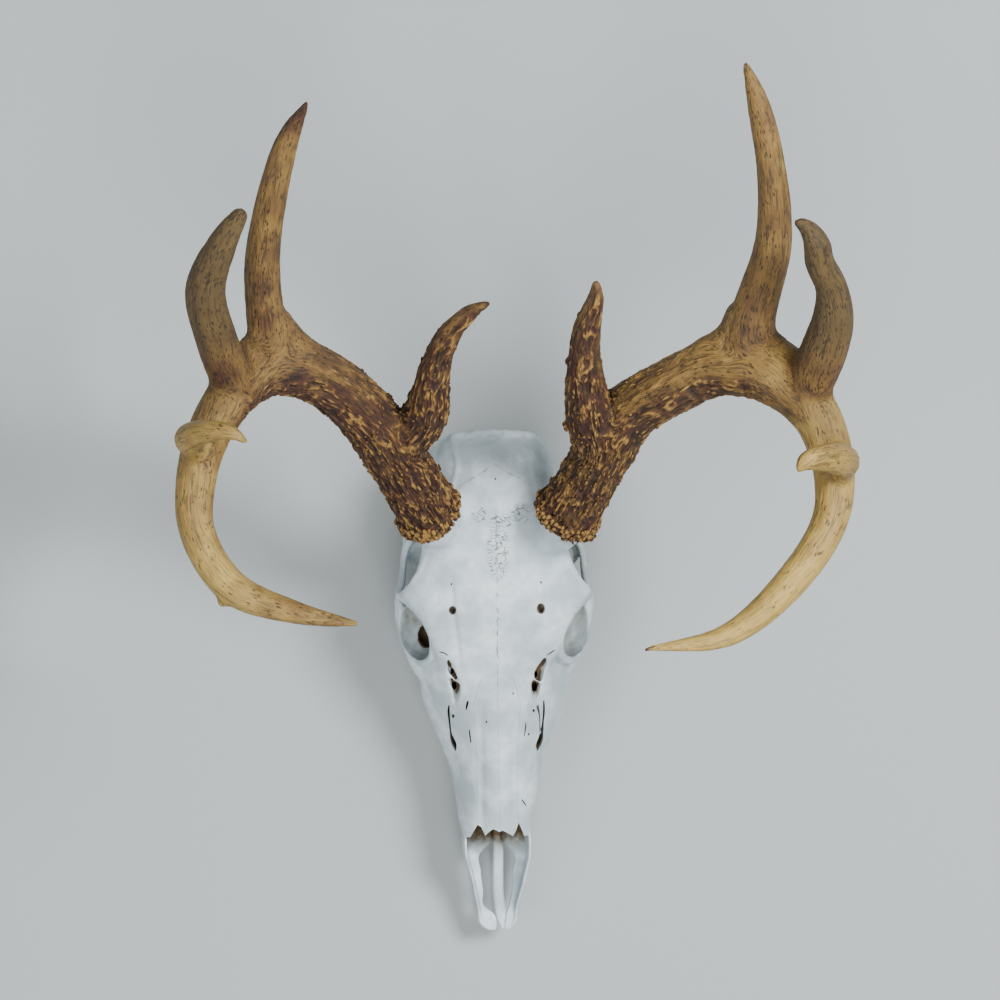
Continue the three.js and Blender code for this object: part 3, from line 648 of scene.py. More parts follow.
def cut(piece, tool, operation="DIFFERENCE"):
    """Cuts a piece with a tool, or keeps what lies within it, and removes the tool."""
    before = len(piece.data.vertices)
    modified(piece, "BOOLEAN", operation=operation, object=tool, solver="MANIFOLD")
    if len(piece.data.vertices) == before:
        raise RuntimeError(f"{tool.name} did not cut {piece.name}")
    discard(tool)
    return piece


def filled(piece, radius, grain):
    """Fills the inner corners of a piece with a round of the given radius: swollen, then shrunk."""
    for step in (radius, -radius):
        modified(piece, "DISPLACE", strength=step, mid_level=0)
        modified(piece, "REMESH", mode="VOXEL", voxel_size=grain)


def copied(piece, name):
    twin = bpy.data.objects.new(name, piece.data.copy())
    bpy.context.scene.collection.objects.link(twin)
    return twin


def places_of(mesh):
    """A mesh's vertices in millimetres in the skull's frame."""
    flat = np.empty(len(mesh.vertices) * 3)
    mesh.vertices.foreach_get("co", flat)
    return (flat.reshape(-1, 3) - ORIGIN) * 1000


def normals_of(mesh):
    flat = np.empty(len(mesh.vertices) * 3)
    mesh.vertex_normals.foreach_get("vector", flat)
    return flat.reshape(-1, 3)


def move_to(mesh, places):
    """Sets a mesh's vertices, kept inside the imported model's box."""
    low, high = np.array(CAD_BOX[0]), np.array(CAD_BOX[1])
    metres = np.clip(places / 1000 + ORIGIN, low, high)
    mesh.vertices.foreach_set("co", metres.ravel())
    mesh.update()


def store_all(mesh, **attributes):
    """Stores numbers or vectors for each vertex, for the materials to read."""
    for name, values in attributes.items():
        kind, key = ("FLOAT_VECTOR", "vector") if values.ndim == 2 else ("FLOAT", "value")
        layer = mesh.attributes.new(name, kind, "POINT")
        layer.data.foreach_set(key, np.ascontiguousarray(values, np.float32).ravel())


def finish_piece(piece, material, nodes=(), crisp=None):
    """Smooth shading, finish, material slot and place in the model."""
    move_to(piece.data, places_of(piece.data))
    piece.data.materials.clear()
    piece.data.materials.append(material)
    piece.data.shade_smooth()
    if crisp:
        piece.data.set_sharp_from_angle(angle=crisp)
    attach(piece, "root")
    if nodes:
        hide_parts(*nodes)


# ---------- materials ----------


def linear(colour):
    """An sRGB colour, given as hex digits, as linear light with alpha."""
    parts = [int(colour[i : i + 2], 16) / 255 for i in (0, 2, 4)]
    return (*[c / 12.92 if c <= 0.04045 else ((c + 0.055) / 1.055) ** 2.4 for c in parts], 1.0)


def add_node(tree, kind, inputs=(), output=0, **settings):
    """Adds one node with its settings and gives one of its outputs.

    The inputs are a list of values for the first sockets, or a dictionary of values by a socket's
    name or number. A value is a constant or an output, which is linked in.
    """
    node = tree.nodes.new("ShaderNode" + kind)
    for name, value in settings.items():
        setattr(node, name, value)
    for key, value in inputs.items() if isinstance(inputs, dict) else enumerate(inputs):
        if isinstance(value, bpy.types.NodeSocket):
            tree.links.new(value, node.inputs[key])
        else:
            node.inputs[key].default_value = value
    return node.outputs[output]


def new_material(name, **constants):
    """An empty material, its shader and a function that adds nodes. Constants are set on the sockets."""
    material = bpy.data.materials.get(name)
    if material:
        bpy.data.materials.remove(material)
    material = bpy.data.materials.new(name)
    material.use_nodes = True
    shader = material.node_tree.nodes["Principled BSDF"]
    for socket, value in constants.items():
        shader.inputs[socket.replace("_", " ")].default_value = value
    return material, shader, partial(add_node, material.node_tree)


def layered(node, colour, layers):
    """A colour with other colours laid over it in turn, each with its share."""
    for share, over in layers:
        colour = node("Mix", {0: share, 6: colour, 7: over}, 2, data_type="RGBA")
    return colour


def wire(material, shader, node, height, strength, distance, **linked):
    """Links a bump and other outputs into a material's shader."""
    linked["Normal"] = node("Bump", {"Height": height, "Strength": strength, "Distance": distance})
    for socket, output in linked.items():
        material.node_tree.links.new(output, shader.inputs[socket.replace("_", " ")])
    return material


def bleached_bone(colours):
    """Bleached bone, whitened with peroxide: chalky and matt, with grey lines where the plates meet.

    The open faces are white; the hollows turn grey to brown, which is mostly painted shade and partly stain.
    """
    material, shader, node = new_material("bleached_bone", Roughness=0.6, IOR=1.54)
    place = node("TexCoord", output="Object")
    centred = node("Mapping", {
        "Vector": place, "Location": -Vector(ORIGIN) * 1000, "Scale": (1000, 1000, 1000)
    })
    x, y, z = [node("SeparateXYZ", [centred], axis) for axis in "XYZ"]
    hollow = node("Attribute", output="Fac", attribute_name="hollow")

    # Cloudy tone 20 mm across, finer mottling 4 mm across, and grain of 0.8 mm, which is drawn
    # twice as coarse as real bone so that it shows.
    cloud, mottle, grain = [
        node("TexNoise", {"Vector": centred, "Scale": 1 / size, "Detail": detail})
        for size, detail in ((20, 3), (4, 4), (0.8, 3))
    ]

    # Squiggles: contour lines of noise 2.8 mm across, inside the porous patches of the forehead.
    stretched = node("Mapping", {"Vector": centred, "Scale": (0.7, 1.3, 0)})
    contour = node("TexNoise", {"Vector": stretched, "Scale": 1 / 2.8, "Detail": 0, "Distortion": 0.7})
    contour = node("Math", [contour, 0.5], operation="SUBTRACT")
    contour = node("Math", [contour], operation="ABSOLUTE")
    squiggle = node("MapRange", [contour, 0.06, 0.028])
    patches = 0.0
    for middle, size in POROUS_PATCHES:
        shifted = node("Mapping", {
            "Vector": centred, "Location": [-middle[0] / size[0], -middle[1] / size[1], 0],
            "Scale": (1 / size[0], 1 / size[1], 0),
        })
        reach = node("VectorMath", [shifted], "Value", operation="LENGTH")
        patches = node("Math", [patches, node("MapRange", [reach, 1.0, 0.8])], operation="MAXIMUM")
    on_top = node("MapRange", [z, 84, 94])
    squiggle = node("Math", [squiggle, patches], operation="MULTIPLY")
    squiggle = node("Math", [squiggle, on_top], operation="MULTIPLY")

    # The suture down the middle of the forehead, 0.5 mm wide, which wanders over 3 mm.
    wave = node("TexNoise", {"Vector": node("CombineXYZ", {"Y": y}), "Scale": 1 / 3, "Detail": 3})
    midline = node("Math", [wave, -4.4, 2.0], operation="MULTIPLY_ADD")
    midline = node("Math", [x, midline], operation="ADD")
    midline = node("Math", [midline], operation="ABSOLUTE")
    midline = node("MapRange", [midline, 0.5, 0.15])
    midline = node("Math", [midline, node("MapRange", [y, 8, -30])], operation="MULTIPLY")
    midline = node("Math", [midline, on_top], operation="MULTIPLY")

    # The inverted V of the coronal suture, with a zigzag 2.5 mm long.
    zigzag = node("TexNoise", {"Vector": centred, "Scale": 1 / 2.5, "Detail": 2})
    slope = node("Math", [x], operation="ABSOLUTE")
    slope = node("Math", [slope, 0.6, y], operation="MULTIPLY_ADD")
    slope = node("Math", [zigzag, 3.0, slope], operation="MULTIPLY_ADD")
    slope = node("Math", [slope, CORONAL_PEAK_Y + 1.5], operation="SUBTRACT")
    slope = node("Math", [slope], operation="ABSOLUTE")
    coronal = node("MapRange", [slope, 0.5, 0.15, 0, 0.6])
    lines = node("Math", [midline, coronal], operation="MAXIMUM")
    lines = node("Math", [lines, node("MapRange", [mottle, 0.42, 0.6])], operation="MULTIPLY")
    lines = node("Math", [lines, squiggle], operation="MAXIMUM")

    # Pores of 0.4 mm, 2.2 mm apart, where the mottling is dark.
    pore = node("TexVoronoi", {"Vector": centred, "Scale": 1 / 2.2, "Randomness": 1}, "Distance")
    pore = node("MapRange", [pore, 0.16, 0.06])
    pore = node("Math", [pore, node("MapRange", [mottle, 0.54, 0.66])], operation="MULTIPLY")
    marks = node("Math", [lines, pore], operation="MAXIMUM")
    marks = node("Math", [marks, 0.9], operation="MULTIPLY")

    # Painted shade: the hollow attribute, from occlusion and depth down openings, turns recesses grey and
    # deep holes brown, partly as stain
    patchy = node("Math", [mottle, 0.5, -0.25], operation="MULTIPLY_ADD")
    depth = node("Math", [hollow, patchy], operation="ADD")
    colour = layered(node, colours.bone, [
        (node("MapRange", [cloud, 0.38, 0.6]), colours.bone_shade),
        (node("MapRange", [mottle, 0.35, 0.75, 0, 0.55]), colours.bone_shade),
        (marks, colours.bone_line),
        (node("MapRange", [depth, 0.38, 0.85, 0, 0.75]), colours.hollow),
        (node("MapRange", [depth, 0.76, 0.96]), colours.stain),
    ])
    height = node("Math", [grain, 0.25, mottle], operation="MULTIPLY_ADD")
    height = node("Math", [marks, -0.8, height], operation="MULTIPLY_ADD")
    return wire(material, shader, node, height, 0.6, 0.0005, Base_Color=colour)


def tooth_enamel(colours):
    """Tooth enamel with dentine in its folds: ivory, with a low gloss, brown streaks, and brown that deepens
    towards the jaw and in the valleys of the worn face.
    """
    material, shader, node = new_material("tooth_enamel", Roughness=0.35, IOR=1.62)
    # Stain in streaks 1.5 mm wide that run up the crown.
    streak = node("Mapping", {"Vector": node("TexCoord", output="Object"), "Scale": (1, 1, 0.3)})
    streak = node("TexNoise", {"Vector": streak, "Scale": 1 / 0.0015, "Detail": 3})
    hollow = node("Attribute", output="Fac", attribute_name="hollow")
    worn = node("Math", [streak, 0.6, hollow], operation="MULTIPLY_ADD")
    colour = layered(node, colours.enamel, [(node("MapRange", [worn, 0.45, 1.15]), colours.stain)])
    return wire(material, shader, node, streak, 0.3, 0.0003, Base_Color=colour)


def stained_antler(colours):
    """Hard antler stained by bark and weathering: dark in the furrows, worn pale on crests and tips. The
    third tines are greyer and darker, partly from weathering and partly as painted shade.
    """
    material, shader, node = new_material("stained_antler", IOR=1.54)
    flow = node("Attribute", output="Vector", attribute_name="flow")
    ripe, crest, weather = [
        node("Attribute", output="Fac", attribute_name=name) for name in ("ripe", "crest", "weather")
    ]

    # Fibres 0.7 mm wide and 8 mm long, furrows 2.2 mm wide and 22 mm long, and clouds of 14 mm.
    fibre = node("Mapping", {"Vector": flow, "Scale": (1 / 0.7, 1 / 0.7, 1 / 8)})
    fibre = node("TexNoise", {"Vector": fibre, "Scale": 1, "Detail": 4, "Roughness": 0.6, "Distortion": 0.4})
    furrow = node("Mapping", {"Vector": flow, "Scale": (1 / 2.2, 1 / 2.2, 1 / 22)})
    furrow = node("TexNoise", {"Vector": furrow, "Scale": 1, "Detail": 3, "Distortion": 0.6})
    cloud = node("TexNoise", {"Vector": flow, "Scale": 1 / 14, "Detail": 4})

    # Dark pits 1.3 mm apart across the growth and 4.2 mm along it, fewer where the ground is ripe.
    bent = node("TexNoise", {"Vector": flow, "Scale": 1 / 3}, "Color")
    bent = node("VectorMath", [bent, flow], operation="ADD")
    pits = node("Mapping", {"Vector": bent, "Scale": (1 / 1.3, 1 / 1.3, 1 / 4.2)})
    pits = node("TexVoronoi", {"Vector": pits, "Scale": 1, "Randomness": 1}, "Distance")
    pits = node("MapRange", [pits, 0.42, 0.22])
    smooth = node("Math", [ripe, 0.2, 0.32], operation="MULTIPLY_ADD")
    pitted = node("TexNoise", {"Vector": flow, "Scale": 1 / 6, "Detail": 2})
    pitted = node("Math", [pitted, smooth], operation="SUBTRACT")
    pitted = node("MapRange", [pitted, 0.02, 0.12, 0, 0.85])
    pits = node("Math", [pits, pitted], operation="MULTIPLY")

    age = node("Math", [cloud, 0.9, -0.45], operation="MULTIPLY_ADD")
    age = node("Math", [age, ripe], operation="ADD")
    grown_together = node("Math", [furrow, fibre], operation="ADD")
    rawness = node("MapRange", [ripe, 0, 1, 0.9, 0.45])
    dark = node("MapRange", [grown_together, 1.0, 0.8])
    dark = node("Math", [dark, node("MapRange", [crest, 0.42, 0.05])], operation="MAXIMUM")
    dark = node("Math", [dark, rawness], operation="MULTIPLY")
    dark = node("Math", [dark, pits], operation="MAXIMUM")
    worn = node("Math", [fibre, 0.9, crest], operation="MULTIPLY_ADD")
    colour = layered(node, colours.antler_base, [
        (node("MapRange", [age, 0.08, 0.5]), colours.antler_beam),
        (node("MapRange", [age, 0.55, 1.0]), colours.antler_tip),
        # Painted shade, partly weathering: grey and darker on the third tines
        (node("Math", [weather, 0.75], operation="MULTIPLY"), colours.antler_weathered),
        (dark, colours.antler_furrow),
        (node("MapRange", [worn, 1.1, 1.5, 0, 0.85]), colours.antler_pearl),
    ])
    height = node("Math", [pits, -0.4, grown_together], operation="MULTIPLY_ADD")
    height = node("Math", [height, rawness], operation="MULTIPLY")
    gloss = node("MapRange", [ripe, 0.1, 1.0, 0.8, 0.45])
    return wire(material, shader, node, height, 0.9, 0.0012, Base_Color=colour, Roughness=gloss)


def matt_paint(colours):
    """Matt emulsion paint on a flat board: even and pale, with no shine and a stipple 4 mm across."""
    material, shader, node = new_material("matt_paint", Roughness=0.9, Base_Color=colours.floor)
    stipple = node("TexNoise", {"Vector": node("TexCoord", output="Object"), "Scale": 1 / 0.004, "Detail": 2})
    return wire(material, shader, node, stipple, 0.1, 0.0003)


# ---------- the bones ----------


def tooth_x(y):
    """Distance of the tooth row from the midline: the two rows spread towards the back."""
    return float(np.interp(y, [-171, -105], [20, 28.5]))


def occipital_plate():
    """The upright back of the skull, with its crest round the top."""
    half = np.array(OCCIPUT, float)
    at = np.linspace(0, len(half) - 1, 33)
    outline = blended(np.arange(len(half)), half, at)
    outline = np.concatenate([outline, outline[-2:0:-1] * [-1, 1]])
    middle = np.array([0, 62.0])
    rings = []
    for y, size in [[28, 0.9], [34, 0.97], [38.5, 1.0], [40, 0.985], [CREST_Y, 0.93]]:
        ring = middle + (outline - middle) * size
        back = y - 0.95 * np.maximum(np.abs(ring[:, 0]) - 22, 0) * (y > 30)
        rings.append(np.column_stack([ring[:, 0], back, ring[:, 1]]))
    return skin(np.array(rings))


def skull_masses():
    """The heavy parts of the skull, which overlap and are blended together afterwards."""
    parts = [
        skin(section_rings(FACE, 60, 64)),
        skin(section_rings(FOREHEAD, 60, 64)),
        skin(section_rings(BRAINCASE, 50, 64)),
        skin(section_rings(SKULL_BASE, 30, 32)),
        occipital_plate(),
    ]
    for side in SIDES.values():
        ridge = [
            [side * tooth_x(y), y, (top + low) / 2, half, (top - low) / 2]
            for y, half, top, low in TOOTH_RIDGE
        ]
        parts.append(skin(Route(ridge, 8).rings(32)))
        parts.append(ball(ORBIT_CUP, side))
        parts.append(ball(AUDITORY_BULLA, side))
        parts.append(ball(OCCIPITAL_CONDYLE, side))
    for name in SIDES:
        parts.append(pedicle(name))
    return joined(parts)


def pedicle(name):
    """The stump of the frontal bone that carries an antler and ends just under its burr."""
    foot, tangent = antler_foot(name)
    end = foot - tangent * 0.3
    neck = foot - tangent * 8
    root = PEDICLE_ROOT
    points = [[SIDES[name] * root[0], *root[1:]], [*neck, PEDICLE_RADIUS], [*end, PEDICLE_RADIUS]]
    return skin(Route(points, 8).rings(32))


def thin_bones():
    """Arches, rims, processes and splinters, which are too thin to be smoothed with the masses."""
    parts = []
    for name, side in SIDES.items():
        for route in (ZYGOMATIC, JUGULAR_PROCESS, EAR_TUBE, PTERYGOID, ORBIT_RIM):
            parts.append(skin(Route(on_side(route, side), 8).rings(24)))
        parts.append(ball(JAW_JOINT_SHELF, side))
        for strut in STRUTS[name]:
            points = [[*on_roof(x, y, -drop), radius] for x, y, drop, radius in strut]
            parts.append(skin(Route(points, 6).rings(12)))
    return joined(parts)


def gap(points):
    """A cutting shape that follows the bone's surface."""
    route = [[*on_roof(x, y, -1), half, deep] for x, y, half, deep in points]
    return skin(Route(route, 6).rings(20))


def fine_openings():
    """Slits and holes with crisp edges, which would close if they were smoothed."""
    holes = [ball(ORBIT_HOLE, turn=ORBIT_HOLE_TURN), prism(NOSE_OPENING, 40, 80)]
    holes += [gap(crack) for crack in CRACKS]
    for name, side in SIDES.items():
        holes.append(gap(FACE_SLIT[name]))
        holes.append(ball((on_roof(side * FORAMEN_X, FORAMEN_Y), FORAMEN_RADII[name])))
        holes.append(ball(CHEEK_FORAMEN, side))
    for x, y, radius in PINHOLES:
        holes.append(ball((on_roof(x, y), [radius, radius * 1.4, 3])))
    for x, y, half_width, half_length in INNER_HOLES:
        holes.append(ball((on_roof(x, y, -10), [half_width, half_length, 7])))
    return joined(holes)


def openings():
    """Cutting shapes in groups whose members don't touch each other."""
    paired = []
    gaps = []
    for name, side in SIDES.items():
        paired.append(ball(ORBIT, side))
        gaps.append(gap(VACUITY[name]))
        gaps.append(ball(TEMPORAL_HOLLOW, side))
        gaps.append(ball(TEAR_PIT, side))
    nose = skin(section_rings(NASAL_CAVITY, 40, 48))
    middle, inner, outer, depth, widened = SPINAL_OPENING
    turned = Matrix.Rotation(-math.pi / 2, 4, "X") @ Matrix.Diagonal((widened, 1, 1, 1))
    spinal = bmesh.new()
    bmesh.ops.create_cone(
        spinal, cap_ends=True, segments=32, radius1=inner, radius2=outer, depth=depth,
        matrix=Matrix.Translation(middle) @ turned,
    )
    rims = [prism(on_side(ORBIT_EDGE, side), 63, 110) for side in SIDES.values()]
    return [paired, rims, gaps, [nose, ball(CHOANA), spinal]]


def whole_skull(sizes):
    """The skull as one mesh: masses blended, openings cut, thin bones added and details raised."""
    skull = as_object("skull", skull_masses())
    coarse = sizes.bone_grain * MASS_COARSENESS
    modified(skull, "REMESH", mode="VOXEL", voxel_size=coarse)
    filled(skull, SKULL_FILLET, coarse)
    modified(skull, "SMOOTH", factor=0.5, iterations=14)
    for group in openings():
        cut(skull, as_object("opening", joined(group)))
    thin = as_object("thin_bones", thin_bones())
    whole = bmesh.new()
    whole.from_mesh(skull.data)
    whole.from_mesh(thin.data)
    whole.to_mesh(skull.data)
    whole.free()
    discard(thin)
    modified(skull, "REMESH", mode="VOXEL", voxel_size=sizes.bone_grain)
    cut(skull, as_object("bowls", joined([ball(ORBIT_BOWL, side) for side in SIDES.values()])))
    modified(skull, "REMESH", mode="VOXEL", voxel_size=sizes.bone_grain)
    modified(skull, "SMOOTH", factor=0.5, iterations=4)
    raise_details(skull.data)
    return cut(skull, as_object("fine_openings", fine_openings()))


def raise_details(mesh):
    """Grooves, ridges and unevenness that are too fine for the skull's main shapes."""
    places = places_of(mesh)
    x, y, z = places.T
    side_x = np.abs(x)
    on_top = ramp(z, 74, 88)
    amount = 0.5 * rough(places, 22, 1) + 0.16 * rough(places, 7, 2) + 0.06 * rough(places, 2.6, 3)
    amount -= 0.9 * np.exp(-(((side_x - 9.6) / 2.6) ** 2)) * ramp(z, 40, 52) * ramp(y, -112, -134)
    amount += 0.5 * np.exp(-((x / 4.5) ** 2)) * ramp(z, 40, 52) * ramp(y, -112, -134)
    groove_x = np.interp(y, [-108, -62, -44], [19.5, FORAMEN_X, 25.6])
    groove = np.exp(-(((side_x - groove_x) / 1.8) ** 2))
    amount -= 0.9 * groove * on_top * ramp(y, -106, -90) * ramp(y, -40, -52)
    amount -= 0.5 * np.exp(-((x / 5) ** 2)) * on_top * ramp(y, -100, -80) * ramp(y, 0, -30)
    ridge_x = np.interp(y, [-54, -40, -20, 0, 20, 38], [56, 44, 36, 27, 21, 24])
    ridge = np.exp(-(((side_x - ridge_x) / 1.6) ** 2))
    amount += 0.7 * ridge * on_top * ramp(y, -54, -40)
    rear = ramp(y, 28, 38) * ramp(z, 55, 70)
    amount += rear * 0.7 * rough(places, 3.5, 4)
    move_to(mesh, places + normals_of(mesh) * amount[:, None])


def occlusion_shade(piece):
    """Painted shade of the hollows: at each point, the share of rays that bone stops, as in ambient
    occlusion.
    """
    coarse = modified(copied(piece, "coarse"), "REMESH", mode="VOXEL", voxel_size=SHELTER_GRAIN)
    tree = BVHTree.FromObject(coarse, bpy.context.evaluated_depsgraph_get())
    spread = np.random.default_rng(5).normal(size=(26, 3))
    spread /= np.linalg.norm(spread, axis=1, keepdims=True)
    rays = [Vector(ray) for ray in spread]
    depth = []
    lookup = KDTree(len(coarse.data.vertices))
    for index, vert in enumerate(coarse.data.vertices):
        start = vert.co + vert.normal * 0.0012
        facing = [ray for ray in rays if ray.dot(vert.normal) > 0.1]
        stopped = sum(tree.ray_cast(start, ray, SHELTER_REACH)[0] is not None for ray in facing)
        depth.append(stopped / max(len(facing), 1))
        lookup.insert(vert.co, index)
    lookup.balance()
    discard(coarse)
    return lookup, np.array(depth)


def hole_shade_and_stain(places):
    """Painted shade, partly brown stain, down gaps, holes and the nose, and painted shadow in the orbits: 0
    at the surface and 1 deep inside.
    """
    x, y, z = places.T
    below = roof_height(x, y) - z
    holes = [[cx, cy, radius, 1.6, 6] for cx, cy, radius in PINHOLES]
    holes += [[cx, cy, half_width, 7, 20] for cx, cy, half_width, _ in INNER_HOLES]
    for points in (*VACUITY.values(), *FACE_SLIT.values(), *CRACKS):
        points = np.array(points)
        at = np.linspace(0, len(points) - 1, 30)
        made = blended(np.arange(len(points)), points, at)
        holes += [[cx, cy, half, min(2 + 3 * half, 5), deep + 4] for cx, cy, half, deep in made]
    # Painted shade, partly brown stain: each gap and hole darkens with its depth below the roof
    dark = np.zeros(len(places))
    for cx, cy, radius, reach, lowest in holes:
        near = ((x - cx) ** 2 + (y - cy) ** 2 < (radius + 0.9) ** 2) & (below < lowest)
        dark[near] = np.maximum(dark[near], ramp(below[near], 1.2, 1.2 + reach))
    # Painted shade deep in the nose, darker towards the back
    nose = (np.abs(x) < 16.4) & (y < -140) & (below > 3.4) & (z > 20.6)
    dark[nose] = np.maximum(dark[nose], ramp(y[nose], -209, -198))
    # The holes over the orbits are painted dark, as shade
    foramen = (((np.abs(x) - FORAMEN_X) / 3.4) ** 2 + ((y - FORAMEN_Y) / 4.2) ** 2 < 1) & (z > 84)
    dark[foramen] = 0.9 * ramp(below[foramen], 1.4, 4)
    # Painted shadow in the orbits' bowls under the forehead's rim: darker towards the back and towards the
    # inner side
    centre, radii = ORBIT_BOWL
    bowl = (((np.column_stack([np.abs(x), y, z]) - centre) / radii) ** 2).sum(1) < 1.2
    shaded = (0.42 + 0.34 * ramp(y[bowl], -84, -66)) * ramp(np.abs(x[bowl]), 58, 51)
    dark[bowl] = np.maximum(dark[bowl], shaded * (z[bowl] < 84))
    # The hole in the orbit's floor is painted fully dark, as shade
    centre, radii = ORBIT_HOLE
    inside = (((places - centre) / radii) ** 2).sum(1) < 1.25
    dark[inside] = 1
    return dark


def store_hollow_shade(mesh, occlusion):
    """Stores the painted shade of each vertex: from the rays that bone stops, or from its depth down an
    opening.
    """
    lookup, depth = occlusion
    values = np.empty(len(mesh.vertices))
    for index, vert in enumerate(mesh.vertices):
        near = lookup.find_n(vert.co, 3)
        weights = [1 / (distance + 1e-5) for _, _, distance in near]
        values[index] = sum(depth[i] * w for (_, i, _), w in zip(near, weights)) / sum(weights)
    store_all(mesh, hollow=np.maximum(0.8 * values, hole_shade_and_stain(places_of(mesh))))


def nasal_outline(side, spare):
    """The plan of one nasal bone, grown by `spare` on every side."""
    outer = [(side * (x + spare), y - (spare if y < -200 else -spare * (y > -110))) for y, x in NASAL_EDGE]
    inner = [(x - side * spare, y) for y, x in NASAL_MIDLINE + [[NASION_Y - spare, 0.2]]]
    return outer + inner


def above_nose():
    """Everything above the roof of the nasal cavity."""
    profile = NASAL_ROOF + [(NASION_Y + 3, 130), (-232, 130)]
    return drawn_out([(-40, y, z) for y, z in profile], (80, 0, 0))


def box_region(low, high):
    """A box between two corners."""
    made = bmesh.new()
    middle = [(a + b) / 2 for a, b in zip(low, high)]
    size = [b - a for a, b in zip(low, high)]
    bmesh.ops.create_cube(made, size=1, matrix=Matrix.Translation(middle) @ Matrix.Diagonal((*size, 1)))
    return made


def forehead_plan():
    """The plan of the forehead, from the nasal bones and the orbits' rims to the coronal suture."""
    half = [(WIDE, -86), (38, -86), (34, -87.2), (27.5, -92.6), (14, -100), (6, -98.5)]
    front = [(-x, y) for x, y in half] + [(0, NASION_Y)] + half[::-1]
    back = [(WIDE, 7), (22, 8.5), (17, 10.5), (12, 14.5), (7, 16), (1, CORONAL_PEAK_Y)]
    return front + back + [(-6, 17.5), (-10, 14), (-16, 10.5), (-22, 8), (-WIDE, 7)]


def parted(piece, name, shape):
    """Takes what lies within a shape off a piece and gives it back as another piece."""
    region = as_object(name + "_region", shape)
    taken = cut(copied(piece, name), copied(region, name + "_room"), "INTERSECT")
    cut(piece, region)
    return taken


def part_bones(skull):
    """Parts the skull at its sutures, and gives the node or nodes that each bone stands for."""
    bones = {}
    for name, side in SIDES.items():
        bone = copied(skull, "nasal_bone_" + name + "_skin")
        cut(bone, as_object("room", prism(nasal_outline(side, -SUTURE / 2), 30, 125)), "INTERSECT")
        bones["nasal_bone_" + name] = cut(bone, as_object("slab", above_nose()), "INTERSECT")
    for side in SIDES.values():
        room = as_object("room", prism(nasal_outline(side, SUTURE / 2), 30, 125))
        cut(skull, cut(room, as_object("slab", above_nose()), "INTERSECT"))
    for name, side in SIDES.items():
        xs = sorted([side * CHEEK_X, side * WIDE])
        cheek = box_region([xs[0], NASION_Y - 1, 20], [xs[1], -20, 84])
        bones["zygomatic_arch_" + name] = parted(skull, "zygomatic_arch_" + name + "_skin", cheek)
    bones["frontal_bone"] = parted(skull, "frontal_bone_skin", prism(forehead_plan(), ORBIT_FLOOR_Z, 140))
    back = box_region([-WIDE, BASE_Y, -5], [WIDE, WIDE, 140])
    bones["braincase"] = parted(skull, "braincase_skin", back)
    half = box_region([0, -260, -5], [WIDE, WIDE, 140])
    bones["maxilla_left"] = parted(skull, "maxilla_left_skin", half)
    skull.name = "maxilla_right_skin"
    bones["maxilla_right"] = skull
    return bones


def colour(name, description, default):
    """A colour that a user may change, given as sRGB hex digits."""
    return FloatVectorProperty(
        name=name, description=description, subtype="COLOR", size=4, min=0, max=1, default=linear(default)
    )


def measure(name, description, default):
    """A length that a user may change, given in metres."""
    return FloatProperty(name=name, description=description, default=default, unit="LENGTH")


class SkullColours(bpy.types.PropertyGroup):
    """Colours of the bones, the teeth, the antlers and the floor."""

    bone: colour("Bone", "Open faces of the bleached bone", "D9E5EB")
    bone_shade: colour("Bone Shade", "Cloudy patches in the bone", "AFBDC3")
    bone_line: colour("Bone Lines", "Sutures and pores", "60665F")
    # Hollows and Stain are painted shade in the recesses and down the holes, with some real grey and brown
    # stain
    hollow: colour("Hollows", "Sheltered bone that the bleach left grey", "7A7565")
    stain: colour("Stain", "Brown stain deep inside", "4E3A19")
    enamel: colour("Enamel", "Crowns of the cheek teeth", "DDD5C0")
    antler_base: colour("Antler Base", "Stained foot of the beams", "43220A")
    antler_beam: colour("Antler Beam", "Middle of the beams and the tines", "7D5F28")
    antler_tip: colour("Antler Tip", "Polished outer beam and tips", "B4964B")
    # Weathered Antler is partly weathering and partly painted shade on the third tines
    antler_weathered: colour("Weathered Antler", "Upright tines, grey from the weather", "4E3F1F")
    antler_furrow: colour("Furrows", "Stain in the furrows", "1F1206")
    antler_pearl: colour("Pearls", "Worn tops of ridges and pearls", "AC843E")
    floor: colour("Floor", "Floor under the skull", "A9AFAF")


class SkullSizes(bpy.types.PropertyGroup):
    """Sizes that set how fine and how rough the surfaces are."""

    bone_grain: measure("Bone Grain", "Finest detail of the bones", 0.00074)
    base_grain: measure("Antler Base Grain", "Finest detail of the lower antlers", 0.00056)
    antler_grain: measure("Antler Grain", "Finest detail of the upper antlers", 0.00088)
    ridge_height: measure("Ridge Height", "Relief of the ridges near the burrs", 0.0011)
    pearl_count: IntProperty(name="Pearls", description="Pearls on each antler", default=1300, min=0)
    pearl_size: measure("Pearl Size", "Radius of a middling pearl", 0.0008)


# ---------- the nose and the teeth ----------


def premaxilla(name):
    """One branch of the premaxilla: a thin rim outside and a ledge inside, down to the open slot."""
    side = SIDES[name]
    table = np.array(PREMAXILLA[name], float)[::-1]
    levels = np.linspace(table[0, 0], table[-1, 0], 60)
    rings = []
    for y, (outer, inner, bottom, top, shelf) in zip(levels, blended(table[:, 0], table[:, 1:], levels)):
        rim = min(PREMAXILLA_RIM, (outer - inner) * 0.6)
        corners = [
            [outer, bottom + 2], [outer, (bottom + top) / 2], [outer - 1, top], [outer - rim, top - 0.5],
            [outer - rim - 0.8, shelf], [inner, shelf - 1], [inner, bottom + 1],
            [(outer + inner) / 2, bottom],
        ]
        rings.append([[side * x, y, z] for x, z in corners])
    return skin(np.array(rings))


